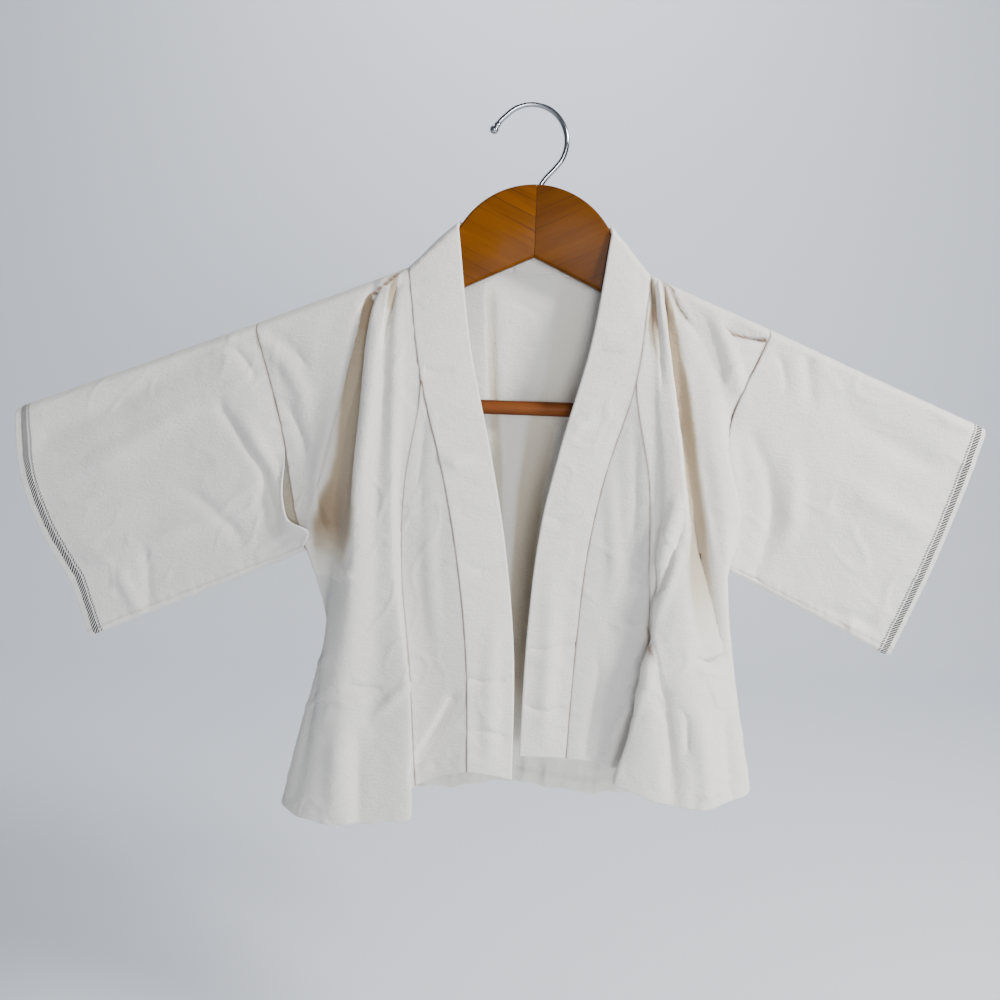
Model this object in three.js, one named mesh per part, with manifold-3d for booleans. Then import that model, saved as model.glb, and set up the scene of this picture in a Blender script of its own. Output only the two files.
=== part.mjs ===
// A toddler's kimono top in brushed cotton, hung open on a wooden hanger with a wire hook.
// Millimetres, +Z up, +X to the right as seen from the front, +Y towards the wall behind.
// The origin is where the wire hook rests on its nail. Left and right are as seen from the front.

import * as THREE from "three";
import { mergeVertices } from "three/addons/utils/BufferGeometryUtils.js";
import Module from "manifold-3d";

const wasm = await Module();
wasm.setup();

// ---- driving dimensions ----

const CLOTH = 1.2; // wall of the brushed cotton
const BAND = 2.4; // the folded collar band
const SEAM_GAP = 0.3; // pieces stand this far apart at a seam
const SEAT = 1.8; // the boards' top edge below the middle of the cloth that lies on it

const BROW = 5; // how far the cloth drops as it rounds over the hanger's arm
const BROW_ROWS = 3; // rows of the wall on that rounded brow
const BROW_START = 0.94; // a wall starts at this share of the brow, clear of the wall it meets
const ROWS = 19; // rows of the wall from the shoulder to the hem
const SHOULDER_SLOPE = 0.395; // fall of the shoulder fold for each millimetre outwards
const NECK_HEIGHT = -107; // height of the shoulder fold where it meets the collar
const NECK_SEAM_HEIGHT = -108; // height of the collar seam behind the neck
const COLLAR_TOP_HEIGHT = -74; // top edge of the collar behind the neck
const NECK_DEPTH = 10; // how far back the collar stands behind the neck
const COLLAR_JOIN_X = -9; // the collar's two lengths are joined here, behind the neck

const STATIONS = [0, 0.2, 0.4, 0.55, 0.75, 1]; // shares of the way from shoulder to hem
const OKUMI_TIP = 0.2; // the overlap panel starts in a point at this share
const OKUMI_BLUNT = 0.015; // and is cut square this far below its point

const SLEEVE_RINGS = 9;
const SLEEVE_PLACES = 8; // spans down each layer of a sleeve
const SLEEVE_DEPTH = 160; // from the top fold to the bottom fold
const FOLD_ANGLES = [0, 35, 65]; // degrees at which a sleeve's wall turns round its folds
const CUFF_HALF_GAP = 4; // half the space between the two layers at the cuff
const ARMHOLE_HALF_GAP = 8; // and at the armhole, round the hanger's arm
const CUFF_FORWARD = -5; // how far in front of the hanger the cuff stands
const ARM_REACH = 0.34; // share of the sleeve that the hanger's arm fills
const CLOSE_FROM = 0.45; // share of the sleeve's depth where its layers start to close up
const CLOSE_BY = 0.5; // share of the gap that is gone at the bottom fold
const OPEN_EASE = 0.08; // the armhole opens below its seam over this share of the side edge

const BOARD = 12; // thickness of the hanger's boards
const BOARD_BEVEL = 2;
const ARCH_RADIUS = 58.5; // of the boards' top edge in the middle
const ARCH_TOP = -50;
const NOTCH = -97.4; // the boards' bottom edge at the mitre
const NOTCH_SLOPE = 0.46;
const HANGER_CENTRE = 4.6; // X of the mitre between the two boards
const OVERRUN = 3; // each board's blank runs this far over the mitre, and is cut there
const SHOULDER_EASE = 4.2; // the board's top edge below the fold of the cloth beside the collar
const END_EASE = 1.5; // the board's seat falls away by this much more where its end rounds off
const BLOCK = 300; // a block of this size keeps a board's own side of the mitre
const BAR_RADIUS = 5;
const BAR_HEIGHT = -199.5;
const BAR_HALF_LENGTH = 195;
const WIRE_RADIUS = 1.7;
const HOOK_RADIUS = 23.5; // of the wire's centre line
const HOOK_TIP_ANGLE = 165; // degrees from the right-hand side of the hook round to its tip
const HOOK_FOOT_ANGLE = -45; // and round to where it turns in to the stem
const FLARE_ANGLE = 140; // the end of the hook spreads past this angle
const FLARE = 0.1; // by this much for each degree
const KNOB_RADIUS = 3;

// ---- tables ----
// Each row is one fold line or edge, from the side edge to the collar's free edge.
// x and y hold its place at the STATIONS, hem its lowest height, span the columns up to the next row.

const LEFT = {
  sign: -1,
  neckX: -79,
  folds: [
    { line: "side edge", hem: -482, span: 3,
      x: [-182.3, -165, -154, -139, -128, -126], y: [-8, -8, -6, -1.3, -1, -1] },
    { line: "middle of the cap", hem: -482, span: 4,
      x: [-150, -142, -147, -135, -136, -152], y: [-8.5, -10, -9, -4, -8, -10] },
    { line: "cap's folded edge", hem: -483.5, span: 3,
      x: [-108, -123, -139, -130, -141, -161], y: [-8.8, -14, -14, -9, -19, -25] },
    { line: "deep valley", hem: -485.5, span: 5,
      x: [-103, -117.5, -128, -125, -138, -150], y: [-8, -8, -8, -20, -32, -41] },
    { line: "main ridge", hem: -486.5, span: 4,
      x: [-98, -103, -109, -112, -117, -122], y: [-9.2, -24, -32, -38, -46, -52] },
    { line: "shallow trough", hem: -486, span: 4,
      x: [-92.5, -94, -96, -95, -94, -95], y: [-8.8, -20, -28, -35, -43, -49] },
    { line: "inner crest", hem: -482, span: 4,
      x: [-87, -86, -86, -82, -70, -67], y: [-9.2, -23, -30, -35, -45, -48] },
    { line: "tuck under the crest", hem: -474, span: 4,
      x: [-83, -79, -82, -79, -76, -74], y: [-8.6, -20, -25, -28, -34, -33] },
    { line: "okumi seam", hem: -468, span: 4,
      x: [-79, -69, -78.2, -79, -72, -66], y: [-8, -18, -24, -26, -29, -27] },
    { line: "collar seam", hem: -455, span: 3,
      x: [-79, -69, -51.5, -41.5, -33, -29.6], y: [-8, -18, -23, -26.5, -28.5, -30] },
    { line: "collar edge", hem: -459, span: 0, top: -76,
      x: [-46.4, -36.4, -19.3, -8.5, 0.4, 2.6], y: [-8, -15, -22, -25.5, -28.5, -30] },
  ],
  cuff: { top: [-348, -211.5], bottom: [-302.7, -372.2], bulge: 12, bulgeEnd: 0.75 },
  sleeveFoot: [-152.8, -306],
  seamEnd: 0.28, // share of the side edge where the armhole seam stops
  openBy: 2.6, // how far the sleeve stands off the body below that
};

const RIGHT = {
  sign: 1,
  neckX: 83,
  folds: [
    { line: "side edge", hem: -462, span: 3,
      x: [166, 143, 146, 147, 138, 132], y: [-8, -8, -8, -3, -1, -1] },
    { line: "fold over the sleeve", hem: -462, span: 4,
      x: [150, 137, 152, 149, 152, 163], y: [-8.5, -12, -19, -14, -14, -14] },
    { line: "outer flank", hem: -461, span: 5,
      x: [132, 129, 141, 146, 154, 170], y: [-8.8, -13, -23, -26, -27, -30] },
    { line: "long trough", hem: -466, span: 4,
      x: [93, 109, 124, 131, 143, 154], y: [-8, -11, -19, -26, -35, -41] },
    { line: "main ridge", hem: -469, span: 4,
      x: [90, 101, 111, 115, 121, 127], y: [-9.2, -21, -31, -37, -43, -47] },
    { line: "inner crest", hem: -455, span: 4,
      x: [87.5, 92, 99, 98, 93, 73], y: [-9, -21, -29, -33, -38, -40] },
    { line: "tuck under the crest", hem: -453, span: 4,
      x: [85.5, 88, 95, 97, 99, 87], y: [-8.6, -19, -25, -28, -31, -32] },
    { line: "okumi seam", hem: -451, span: 4,
      x: [83, 76, 88, 91, 93.5, 80], y: [-8, -18, -23, -25, -26.5, -25.5] },
    { line: "collar seam", hem: -442, span: 3,
      x: [83, 76, 57.5, 48.3, 43, 39.6], y: [-8, -18, -23, -26.5, -28.5, -30] },
    { line: "collar edge", hem: -441, span: 0, top: -76,
      x: [55.5, 45, 26.5, 15.4, 9.2, 6.9], y: [-8, -15, -22, -25.5, -28.5, -30] },
  ],
  cuff: { top: [320, -203], bottom: [269, -366.3], bulge: 3, bulgeEnd: 1 },
  sleeveFoot: [150.2, -308.3],
  seamEnd: 0.22,
  openBy: 2.6,
};

const BACK = [
  { line: "left side edge", hem: -483, span: 4,
    x: [-182.3, -165, -154, -139, -128, -126], y: [8, 8, 6, 1.3, 1, 1] },
  { line: "left flank", hem: -488, span: 4,
    x: [-140, -135, -130, -115, -110, -108], y: [8.5, 12, 13, 11, 11, 11] },
  { line: "left fold", hem: -490, span: 3,
    x: [-100, -98, -95, -92, -86, -82], y: [8.8, 14, 17, 18, 19, 19] },
  { line: "left neck corner", hem: -487, span: 2,
    x: [-79.9, -77, -72, -68, -64, -60], y: [9, 12, 14, 15, 16, 16] },
  { line: "left neck edge", hem: -487, span: 3,
    x: [-76.5, -68, -62, -57, -52, -48], y: [9.3, 11.6, 13.4, 14.2, 15, 15] },
  { line: "inner trough", hem: -483, span: 4,
    x: [-60, -48, -40, -36, -30, -28], y: [10, 10, 10.5, 11, 12, 12] },
  { line: "centre fold", hem: -480, span: 4,
    x: [-5, 0, 2, 0, 0, 0], y: [10, 13, 15, 15, 16, 16] },
  { line: "right trough", hem: -484, span: 4,
    x: [62, 46, 38, 34, 36, 40], y: [10, 10.5, 10, 10, 11, 11] },
  { line: "right neck edge", hem: -487, span: 2,
    x: [79.3, 70, 62, 57, 58, 62], y: [9.3, 11.6, 13.2, 14, 14.6, 14.6] },
  { line: "right neck corner", hem: -487, span: 3,
    x: [84.2, 80, 74, 70, 72, 76], y: [9, 12, 14, 15, 16, 16] },
  { line: "right fold", hem: -488, span: 3,
    x: [102, 94, 90, 88, 90, 94], y: [8.8, 14, 17, 18, 19, 19] },
  { line: "right flank", hem: -482, span: 4,
    x: [130, 118, 120, 118, 115, 114], y: [8.5, 11, 13, 11, 11, 11] },
  { line: "right side edge", hem: -465, span: 0,
    x: [166, 143, 146, 147, 138, 132], y: [8, 8, 8, 3, 1, 1] },
];

// The collar on its way from the shoulder fold to the join behind the neck: the share of the way
// across, how far back it stands, and how far it has come up to its height behind the neck.
const COLLAR_BEHIND = [
  { share: 0, y: 0.6, up: 0 },
  { share: 0.02, y: 4.6, up: 0 },
  { share: 0.06, y: 8.3, up: 0.3 },
  { share: 0.2, y: NECK_DEPTH, up: 1 },
  { share: 0.5, y: NECK_DEPTH, up: 1 },
  { share: 0.75, y: NECK_DEPTH, up: 1 },
  { share: 1, y: NECK_DEPTH, up: 1 },
];

// The outer end of a hanger board, from its top edge round to its lower edge: the distance out
// from the mitre and the height.
const BOARD_END = [
  { out: 193, z: -162 },
  { out: 203, z: -173 },
  { out: 210, z: -188 },
  { out: 211, z: -200 },
  { out: 207, z: -208 },
  { out: 199, z: -209 },
  { out: 191, z: -202 },
  { out: 180, z: -189 },
  { out: 165, z: -176 },
];

// The hook's stem, from the foot of the hook down into the mitre.
const STEM = [
  { x: 9, z: -47 },
  { x: 5.6, z: -54 },
  { x: HANGER_CENTRE, z: -63 },
  { x: HANGER_CENTRE, z: -72 },
];

// ---- smooth values and section curves ----

/** Cubic value at share v through the values given at the STATIONS. */
function at(values, v) {
  let k = 0;
  while (k < STATIONS.length - 2 && v > STATIONS[k + 1]) {
    k += 1;
  }
  const rise = (i) => (values[i + 1] - values[i]) / (STATIONS[i + 1] - STATIONS[i]);
  const slope = (i) => {
    const before = rise(Math.max(0, i - 1));
    const after = rise(Math.min(STATIONS.length - 2, i));
    return (before + after) / 2;
  };
  const width = STATIONS[k + 1] - STATIONS[k];
  const s = (v - STATIONS[k]) / width;
  const s2 = s * s;
  const s3 = s2 * s;
  return (2 * s3 - 3 * s2 + 1) * values[k] + (s3 - 2 * s2 + s) * width * slope(k) +
    (3 * s2 - 2 * s3) * values[k + 1] + (s3 - s2) * width * slope(k + 1);
}

/** Height of the shoulder fold at x, level across the neck. */
function shoulderHeight(x) {
  const neck = x < 0 ? -LEFT.neckX : RIGHT.neckX;
  return NECK_HEIGHT - SHOULDER_SLOPE * Math.max(0, Math.abs(x) - neck);
}

/** A fold line's point at share v of the hang; v below 0 climbs the brow to the shoulder fold. */
function foldPoint(row, v) {
  const top = (row.top ?? shoulderHeight(row.x[0])) - BROW;
  const share = Math.max(0, v);
  const point = new THREE.Vector3(at(row.x, share), at(row.y, share), top + (row.hem - top) * share);
  if (v < 0) {
    const angle = (1 + v) * Math.PI / 2;
    point.y *= Math.sin(angle);
    point.z += BROW * Math.cos(angle);
  }
  return point;
}

/** The okumi seam lies on the collar seam down to the okumi's tip, and leaves it below. */
function okumiPoint(side, v) {
  const seam = side.folds.find((row) => row.line === "okumi seam");
  const collar = side.folds.find((row) => row.line === "collar seam");
  const onCollar = foldPoint(collar, v);
  if (v <= OKUMI_TIP) {
    onCollar.x += side.sign * SEAM_GAP;
    return onCollar;
  }
  const share = (v - OKUMI_TIP) / (1 - OKUMI_TIP);
  const point = foldPoint(seam, v);
  point.z = onCollar.z + (seam.hem - collar.hem) * share;
  const least = onCollar.x + side.sign * SEAM_GAP;
  point.x = side.sign < 0 ? Math.min(point.x, least) : Math.max(point.x, least);
  return point;
}

/** One section across a front, from the side edge to the collar's free edge. */
function frontSection(side, v) {
  return side.folds.map((row) => (row.line === "okumi seam" ? okumiPoint(side, v) : foldPoint(row, v)));
}

/** Points along a section from one named line to another, a few to each span. */
function alongSection(rows, points, from, to) {
  const curve = new THREE.CatmullRomCurve3(points, false, "centripetal");
  const first = rows.findIndex((row) => row.line === from);
  const last = rows.findIndex((row) => row.line === to);
  const places = [];
  for (let k = first; k < last; k += 1) {
    for (let i = 0; i < rows[k].span; i += 1) {
      places.push(k + i / rows[k].span);
    }
  }
  places.push(last);
  return places.map((place) => curve.getPoint(place / (rows.length - 1)));
}

/** Draws one end of a row of points back along the row, to leave the seam's gap. */
function setBack(points, end, distance) {
  const edge = end === "first" ? 0 : points.length - 1;
  const inner = end === "first" ? 1 : points.length - 2;
  const pull = points[inner].clone().sub(points[edge]).setLength(distance);
  points[edge].add(pull);
}

/** Shares of the hang at which the rows of a wall lie, with the brow's rows below 0. */
function rowShares(from = -1) {
  const shares = [];
  for (let i = 0; i < BROW_ROWS; i += 1) {
    shares.push(-BROW_START + (BROW_START * i) / BROW_ROWS);
  }
  for (let i = 0; i <= ROWS; i += 1) {
    shares.push(i / ROWS);
  }
  return shares.filter((v) => v >= from);
}

// ---- walls ----

/** Outward unit normals of a grid of points; the columns wrap round when it is a tube. */
function gridNormals(grid, isTube) {
  const rows = grid.length;
  const cols = grid[0].length;
  const wrap = (j) => (isTube ? (j + cols) % cols : Math.min(cols - 1, Math.max(0, j)));
  return grid.map((row, i) => row.map((_, j) => {
    const down = grid[Math.min(rows - 1, i + 1)][j].clone().sub(grid[Math.max(0, i - 1)][j]);
    const across = row[wrap(j + 1)].clone().sub(row[wrap(j - 1)]);
    return across.cross(down).normalize();
  }));
}

/** A closed wall of even thickness, half on each side of a grid of points. */
function wallGeometry(grid, thickness, isTube = false) {
  const normals = gridNormals(grid, isTube);
  const rows = grid.length;
  const cols = grid[0].length;
  const positions = [];
  for (const half of [thickness / 2, -thickness / 2]) {
    grid.forEach((row, i) => row.forEach((point, j) => {
      const moved = point.clone().addScaledVector(normals[i][j], half);
      positions.push(moved.x, moved.y, moved.z);
    }));
  }
  const index = (layer, i, j) => layer * rows * cols + i * cols + (j % cols);
  const faces = [];
  const quad = (a, b, c, d) => faces.push(a, b, c, a, c, d);
  const lastCol = isTube ? cols : cols - 1;
  for (let i = 0; i < rows - 1; i += 1) {
    for (let j = 0; j < lastCol; j += 1) {
      quad(index(0, i, j), index(0, i + 1, j), index(0, i + 1, j + 1), index(0, i, j + 1));
      quad(index(1, i, j), index(1, i, j + 1), index(1, i + 1, j + 1), index(1, i + 1, j));
    }
  }
  for (let j = 0; j < lastCol; j += 1) {
    quad(index(0, 0, j), index(0, 0, j + 1), index(1, 0, j + 1), index(1, 0, j));
    quad(index(0, rows - 1, j), index(1, rows - 1, j), index(1, rows - 1, j + 1), index(0, rows - 1, j + 1));
  }
  if (!isTube) {
    for (let i = 0; i < rows - 1; i += 1) {
      quad(index(0, i, 0), index(1, i, 0), index(1, i + 1, 0), index(0, i + 1, 0));
      const j = cols - 1;
      quad(index(0, i, j), index(0, i + 1, j), index(1, i + 1, j), index(1, i, j));
    }
  }
  const geometry = new THREE.BufferGeometry();
  geometry.setAttribute("position", new THREE.Float32BufferAttribute(positions, 3));
  geometry.setIndex(volumeOf(positions, faces) < 0 ? faces.reverse() : faces);
  geometry.computeVertexNormals();
  return geometry;
}

/** Signed volume of a closed triangle mesh: negative when its faces point inwards. */
function volumeOf(positions, faces) {
  const corner = (k) => new THREE.Vector3().fromArray(positions, 3 * faces[k]);
  let volume = 0;
  for (let k = 0; k < faces.length; k += 3) {
    volume += corner(k).dot(corner(k + 1).cross(corner(k + 2)));
  }
  return volume / 6;
}

// ---- cloth pieces ----

/** One front of the body, from its side edge to the okumi seam. */
function bodyFront(side) {
  const grid = rowShares().map((v) => {
    const points = alongSection(side.folds, frontSection(side, v), "side edge", "okumi seam");
    setBack(points, "last", SEAM_GAP);
    setBack(points, "first", SEAM_GAP / 2);
    return points;
  });
  return wallGeometry(grid, CLOTH);
}

/** The overlap panel, which starts in a point on the collar seam. */
function okumi(side) {
  const start = OKUMI_TIP + OKUMI_BLUNT;
  const grid = [start, ...rowShares(start + OKUMI_BLUNT)].map((v) => {
    const points = alongSection(side.folds, frontSection(side, v), "okumi seam", "collar seam");
    setBack(points, "first", SEAM_GAP / 2);
    setBack(points, "last", SEAM_GAP);
    return points;
  });
  return wallGeometry(grid, CLOTH);
}

/** The back of the body, from the shoulder fold and the neck seam to the back hem. */
function bodyBack() {
  const grid = rowShares().map((v) => {
    const points = BACK.map((row) => {
      const point = foldPoint(row, v);
      if (v < 0 && row.x[0] > LEFT.neckX && row.x[0] < RIGHT.neckX) {
        const neckEdge = NECK_SEAM_HEIGHT - 2 * SEAM_GAP;
        point.y = row.y[0];
        point.z = neckEdge + (NECK_HEIGHT - BROW - neckEdge) * (1 + v);
      }
      return point;
    });
    const across = alongSection(BACK, points, "left side edge", "right side edge");
    setBack(across, "first", SEAM_GAP / 2);
    setBack(across, "last", SEAM_GAP / 2);
    return across;
  });
  return wallGeometry(grid, CLOTH);
}

/** Half of the collar: down one front edge, over the shoulder and round to the join behind the neck. */
function collar(side) {
  const seam = side.folds.find((row) => row.line === "collar seam");
  const edge = side.folds.find((row) => row.line === "collar edge");
  const down = rowShares().reverse().map((v) => {
    const points = alongSection(side.folds, frontSection(side, v), "collar seam", "collar edge");
    setBack(points, "first", SEAM_GAP / 2);
    return points;
  });
  const seamTop = foldPoint(seam, -1);
  const edgeTop = foldPoint(edge, -1);
  const joinX = COLLAR_JOIN_X + side.sign * SEAM_GAP / 2;
  const behind = COLLAR_BEHIND.map((row) => {
    const turn = Math.sin((row.share * Math.PI) / 2);
    const from = new THREE.Vector3(
      seamTop.x + (joinX - seamTop.x) * row.share ** 1.4, row.y,
      seamTop.z + (NECK_SEAM_HEIGHT - seamTop.z) * row.up);
    const to = new THREE.Vector3(
      edgeTop.x + (joinX - edgeTop.x) * turn ** 2, row.y,
      edgeTop.z + (COLLAR_TOP_HEIGHT - edgeTop.z) * row.up);
    return [0, 1 / 3, 2 / 3, 1].map((s) => from.clone().lerp(to, s));
  });
  return wallGeometry([...down, ...behind], BAND);
}

/** The line where a sleeve leaves the body, at share t from its top fold to its bottom fold. */
function sleeveStart(side, t) {
  const row = side.folds[0];
  const top = shoulderHeight(row.x[0]);
  const z = top + (side.sleeveFoot[1] - top) * t;
  const share = Math.max(0, (z - top + BROW) / (row.hem - top + BROW));
  const open = THREE.MathUtils.smoothstep(share, side.seamEnd, side.seamEnd + OPEN_EASE) * side.openBy;
  const x = at(row.x, share) + side.sign * (2 * SEAM_GAP + open);
  return new THREE.Vector3(x, 0, z);
}

/** The cuff's edge at share t from its top fold to its bottom fold. */
function cuffEdge(side, t) {
  const { top, bottom, bulge, bulgeEnd } = side.cuff;
  const swell = t < bulgeEnd ? bulge * Math.sin((Math.PI * t) / bulgeEnd) : 0;
  return new THREE.Vector3(
    top[0] + (bottom[0] - top[0]) * t + side.sign * swell, 0, top[1] + (bottom[1] - top[1]) * t);
}

/** A sleeve: a flattened tube, open at the cuff and towards the body. */
function sleeve(side) {
  const foldShare = BROW / SLEEVE_DEPTH;
  const round = FOLD_ANGLES.map((degrees) => {
    const angle = THREE.MathUtils.degToRad(degrees);
    return { t: foldShare * (1 - Math.cos(angle)), gap: Math.sin(angle) };
  });
  const loop = [...round];
  for (let i = 0; i <= SLEEVE_PLACES; i += 1) {
    loop.push({ t: foldShare + ((1 - 2 * foldShare) * i) / SLEEVE_PLACES, gap: 1 });
  }
  for (const { t, gap } of round.slice(1).reverse()) {
    loop.push({ t: 1 - t, gap });
  }
  const backwards = loop.slice(1).reverse().map((place) => ({ t: place.t, gap: -place.gap }));
  const around = [...loop, { t: 1, gap: 0 }, ...backwards];
  const grid = [];
  for (let i = 0; i <= SLEEVE_RINGS; i += 1) {
    const s = i / SLEEVE_RINGS;
    const past = THREE.MathUtils.smoothstep(s, ARM_REACH, 1);
    const half = THREE.MathUtils.lerp(ARMHOLE_HALF_GAP, CUFF_HALF_GAP, past);
    grid.push(around.map(({ t, gap }) => {
      const point = sleeveStart(side, t).lerp(cuffEdge(side, t), s);
      const slack = 1 - CLOSE_BY * THREE.MathUtils.smoothstep(t, CLOSE_FROM, 1);
      point.y = CUFF_FORWARD * past - half * slack * gap;
      return point;
    }));
  }
  return wallGeometry(grid, CLOTH, true);
}

// ---- the hanger ----

/** A three.js geometry as a solid that can be cut and joined. */
function solid(geometry) {
  const bare = geometry.clone();
  bare.deleteAttribute("normal");
  bare.deleteAttribute("uv");
  const merged = mergeVertices(bare, 1e-4);
  return new wasm.Manifold(new wasm.Mesh({
    numProp: 3,
    vertProperties: new Float32Array(merged.attributes.position.array),
    triVerts: new Uint32Array(merged.index.array),
  }));
}

/** A solid back as a three.js geometry. */
function geometryOf(body) {
  const { vertProperties, triVerts } = body.getMesh();
  const geometry = new THREE.BufferGeometry();
  geometry.setAttribute("position", new THREE.BufferAttribute(new Float32Array(vertProperties), 3));
  geometry.setIndex(Array.from(triVerts));
  geometry.computeVertexNormals();
  return geometry;
}

/** The outline of one board, in X and Z, from over the mitre along its top and back to its notch. */
function armOutline(side) {
  const x = (out) => HANGER_CENTRE + side.sign * out;
  const seat = (out, ease = 0) => ({ out, z: shoulderHeight(x(out)) - SEAT - ease });
  const archAt = (out) => ({ out, z: ARCH_TOP - ARCH_RADIUS + Math.sqrt(ARCH_RADIUS ** 2 - out ** 2) });
  const underside = (out) => ({ out, z: NOTCH - out * NOTCH_SLOPE });
  const neck = Math.abs(side.neckX - HANGER_CENTRE) + 1;
  const outline = [
    ...[-OVERRUN, 0, 10, 20, 30, 40, 51].map(archAt),
    { out: neck, z: NECK_HEIGHT - SHOULDER_EASE },
    seat(neck + 12),
    seat(165),
    seat(180, END_EASE),
    ...BOARD_END,
    underside(148),
    underside(-OVERRUN),
  ];
  return new THREE.Shape(outline.map(({ out, z }) => new THREE.Vector2(x(out), z)));
}

/** One board of the hanger, with its edges eased, cut at the mitre and bored for bar and hook. */
function hangerArm(side) {
  const blank = new THREE.ExtrudeGeometry(armOutline(side), {
    depth: BOARD - 2 * BOARD_BEVEL,
    bevelEnabled: true,
    bevelThickness: BOARD_BEVEL,
    bevelSize: BOARD_BEVEL,
    bevelOffset: -BOARD_BEVEL,
    bevelSegments: 2,
    curveSegments: 4,
  });
  blank.rotateX(Math.PI / 2);
  blank.translate(0, BOARD / 2 - BOARD_BEVEL, 0);
  const keep = new THREE.BoxGeometry(BLOCK, 2 * BOARD, BLOCK);
  keep.translate(HANGER_CENTRE + (side.sign * (BLOCK + SEAM_GAP)) / 2, 0, (ARCH_TOP + BAR_HEIGHT) / 2);
  const barHole = new THREE.CylinderGeometry(BAR_RADIUS + SEAM_GAP, BAR_RADIUS + SEAM_GAP,
    2 * BAR_HALF_LENGTH + 2 * SEAM_GAP, 24);
  barHole.rotateZ(Math.PI / 2);
  barHole.translate(HANGER_CENTRE, 0, BAR_HEIGHT);
  const hookHole = hookWire(WIRE_RADIUS + SEAM_GAP);
  return geometryOf(solid(blank).intersect(solid(keep))
    .subtract(solid(barHole))
    .subtract(solid(hookHole)));
}

/** The wire of the hook: round the nail, down the right and into the top of the mitre. */
function hookWire(radius) {
  const centre = WIRE_RADIUS - HOOK_RADIUS;
  const points = [];
  for (let angle = HOOK_TIP_ANGLE; angle >= HOOK_FOOT_ANGLE; angle -= 15) {
    const turn = THREE.MathUtils.degToRad(angle);
    const reach = HOOK_RADIUS + Math.max(0, angle - FLARE_ANGLE) * FLARE;
    points.push(new THREE.Vector3(reach * Math.cos(turn), 0, centre + reach * Math.sin(turn)));
  }
  for (const { x, z } of STEM) {
    points.push(new THREE.Vector3(x, 0, z));
  }
  const section = new THREE.Shape();
  section.absarc(0, 0, radius, 0, 2 * Math.PI);
  return new THREE.ExtrudeGeometry(section, {
    steps: 44,
    curveSegments: 5,
    bevelEnabled: false,
    extrudePath: new THREE.CatmullRomCurve3(points),
  });
}

/** The hook with the small knob on its free end. */
function hook() {
  const turn = THREE.MathUtils.degToRad(HOOK_TIP_ANGLE);
  const reach = HOOK_RADIUS + (HOOK_TIP_ANGLE - FLARE_ANGLE) * FLARE;
  const knob = new THREE.SphereGeometry(KNOB_RADIUS, 14, 10);
  knob.translate(reach * Math.cos(turn), 0, WIRE_RADIUS - HOOK_RADIUS + reach * Math.sin(turn));
  return geometryOf(solid(hookWire(WIRE_RADIUS)).add(solid(knob)));
}

/** The trouser bar, let into both arms. */
function bar() {
  const geometry = new THREE.CylinderGeometry(BAR_RADIUS, BAR_RADIUS, 2 * BAR_HALF_LENGTH, 24);
  geometry.rotateZ(Math.PI / 2);
  geometry.translate(HANGER_CENTRE, 0, BAR_HEIGHT);
  return geometry;
}

// ---- materials and the whole part ----

const cotton = new THREE.MeshStandardMaterial({ color: 0xe9e3d8, roughness: 0.95 });
const varnishedWood = new THREE.MeshStandardMaterial({ color: 0x9a5a1c, roughness: 0.4 });
const chromeWire = new THREE.MeshStandardMaterial({ color: 0xc8ccd0, roughness: 0.2, metalness: 1 });

const kimono = new THREE.Group();

/** Adds one named piece to the part. */
function place(name, geometry, material) {
  const mesh = new THREE.Mesh(geometry, material);
  mesh.name = name;
  kimono.add(mesh);
}

place("body_back", bodyBack(), cotton);
for (const [name, side] of [["left", LEFT], ["right", RIGHT]]) {
  place(`body_front_${name}`, bodyFront(side), cotton);
  place(`okumi_${name}`, okumi(side), cotton);
  place(`collar_${name}`, collar(side), cotton);
  place(`sleeve_${name}`, sleeve(side), cotton);
  place(`hanger_arm_${name}`, hangerArm(side), varnishedWood);
}
place("hanger_bar", bar(), varnishedWood);
place("hanger_hook", hook(), chromeWire);

export default kimono;
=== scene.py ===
"""A toddler's kimono top in brushed cotton, hung open on a wooden hanger: the cloth as thin sewn shells on the
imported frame, with its creases, seams, woven cuff bands and finishes. Lengths are in millimetres up to new_mesh,
and in metres from the stage on."""

import math
from contextlib import contextmanager
from dataclasses import dataclass, replace
from types import SimpleNamespace

import bmesh
import bpy
import numpy as np
from mathutils import Matrix


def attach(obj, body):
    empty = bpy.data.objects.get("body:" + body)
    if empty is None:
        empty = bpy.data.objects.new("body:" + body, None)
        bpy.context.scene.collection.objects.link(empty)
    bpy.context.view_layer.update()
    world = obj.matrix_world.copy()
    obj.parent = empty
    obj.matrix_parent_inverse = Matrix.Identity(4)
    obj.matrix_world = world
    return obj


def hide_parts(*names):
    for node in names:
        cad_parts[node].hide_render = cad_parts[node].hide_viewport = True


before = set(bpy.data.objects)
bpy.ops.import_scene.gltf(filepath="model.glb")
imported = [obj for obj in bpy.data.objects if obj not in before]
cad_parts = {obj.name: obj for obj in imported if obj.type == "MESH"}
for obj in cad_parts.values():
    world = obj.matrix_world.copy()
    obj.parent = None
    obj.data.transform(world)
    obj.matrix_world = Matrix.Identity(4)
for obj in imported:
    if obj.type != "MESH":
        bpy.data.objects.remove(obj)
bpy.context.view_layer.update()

MM = 0.001
STEP = 1.5  # spacing of the cloth's grid
BACK_STEP = 1.15 * STEP  # the back is the widest piece
COLLAR_COLUMNS = 25
CLOTH = 1.2  # thickness
HEM, HEM_TURN = 10.5, 1.15  # depth of the turned-up hem, and what it adds inside
BROW = 5  # radius of the fold over the shoulder
RIDGE = -0.996  # where a panel starts on the brow, just short of the shoulder fold at -1
FRONT_HANG, BACK_HANG = 372, 375
BOARD_FACE = 7.4  # the cloth lies no closer than this to the middle of the boards
NECK_HEIGHT, NECK_SEAM_HEIGHT, COLLAR_TOP_HEIGHT = -107, -108, -74
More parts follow.
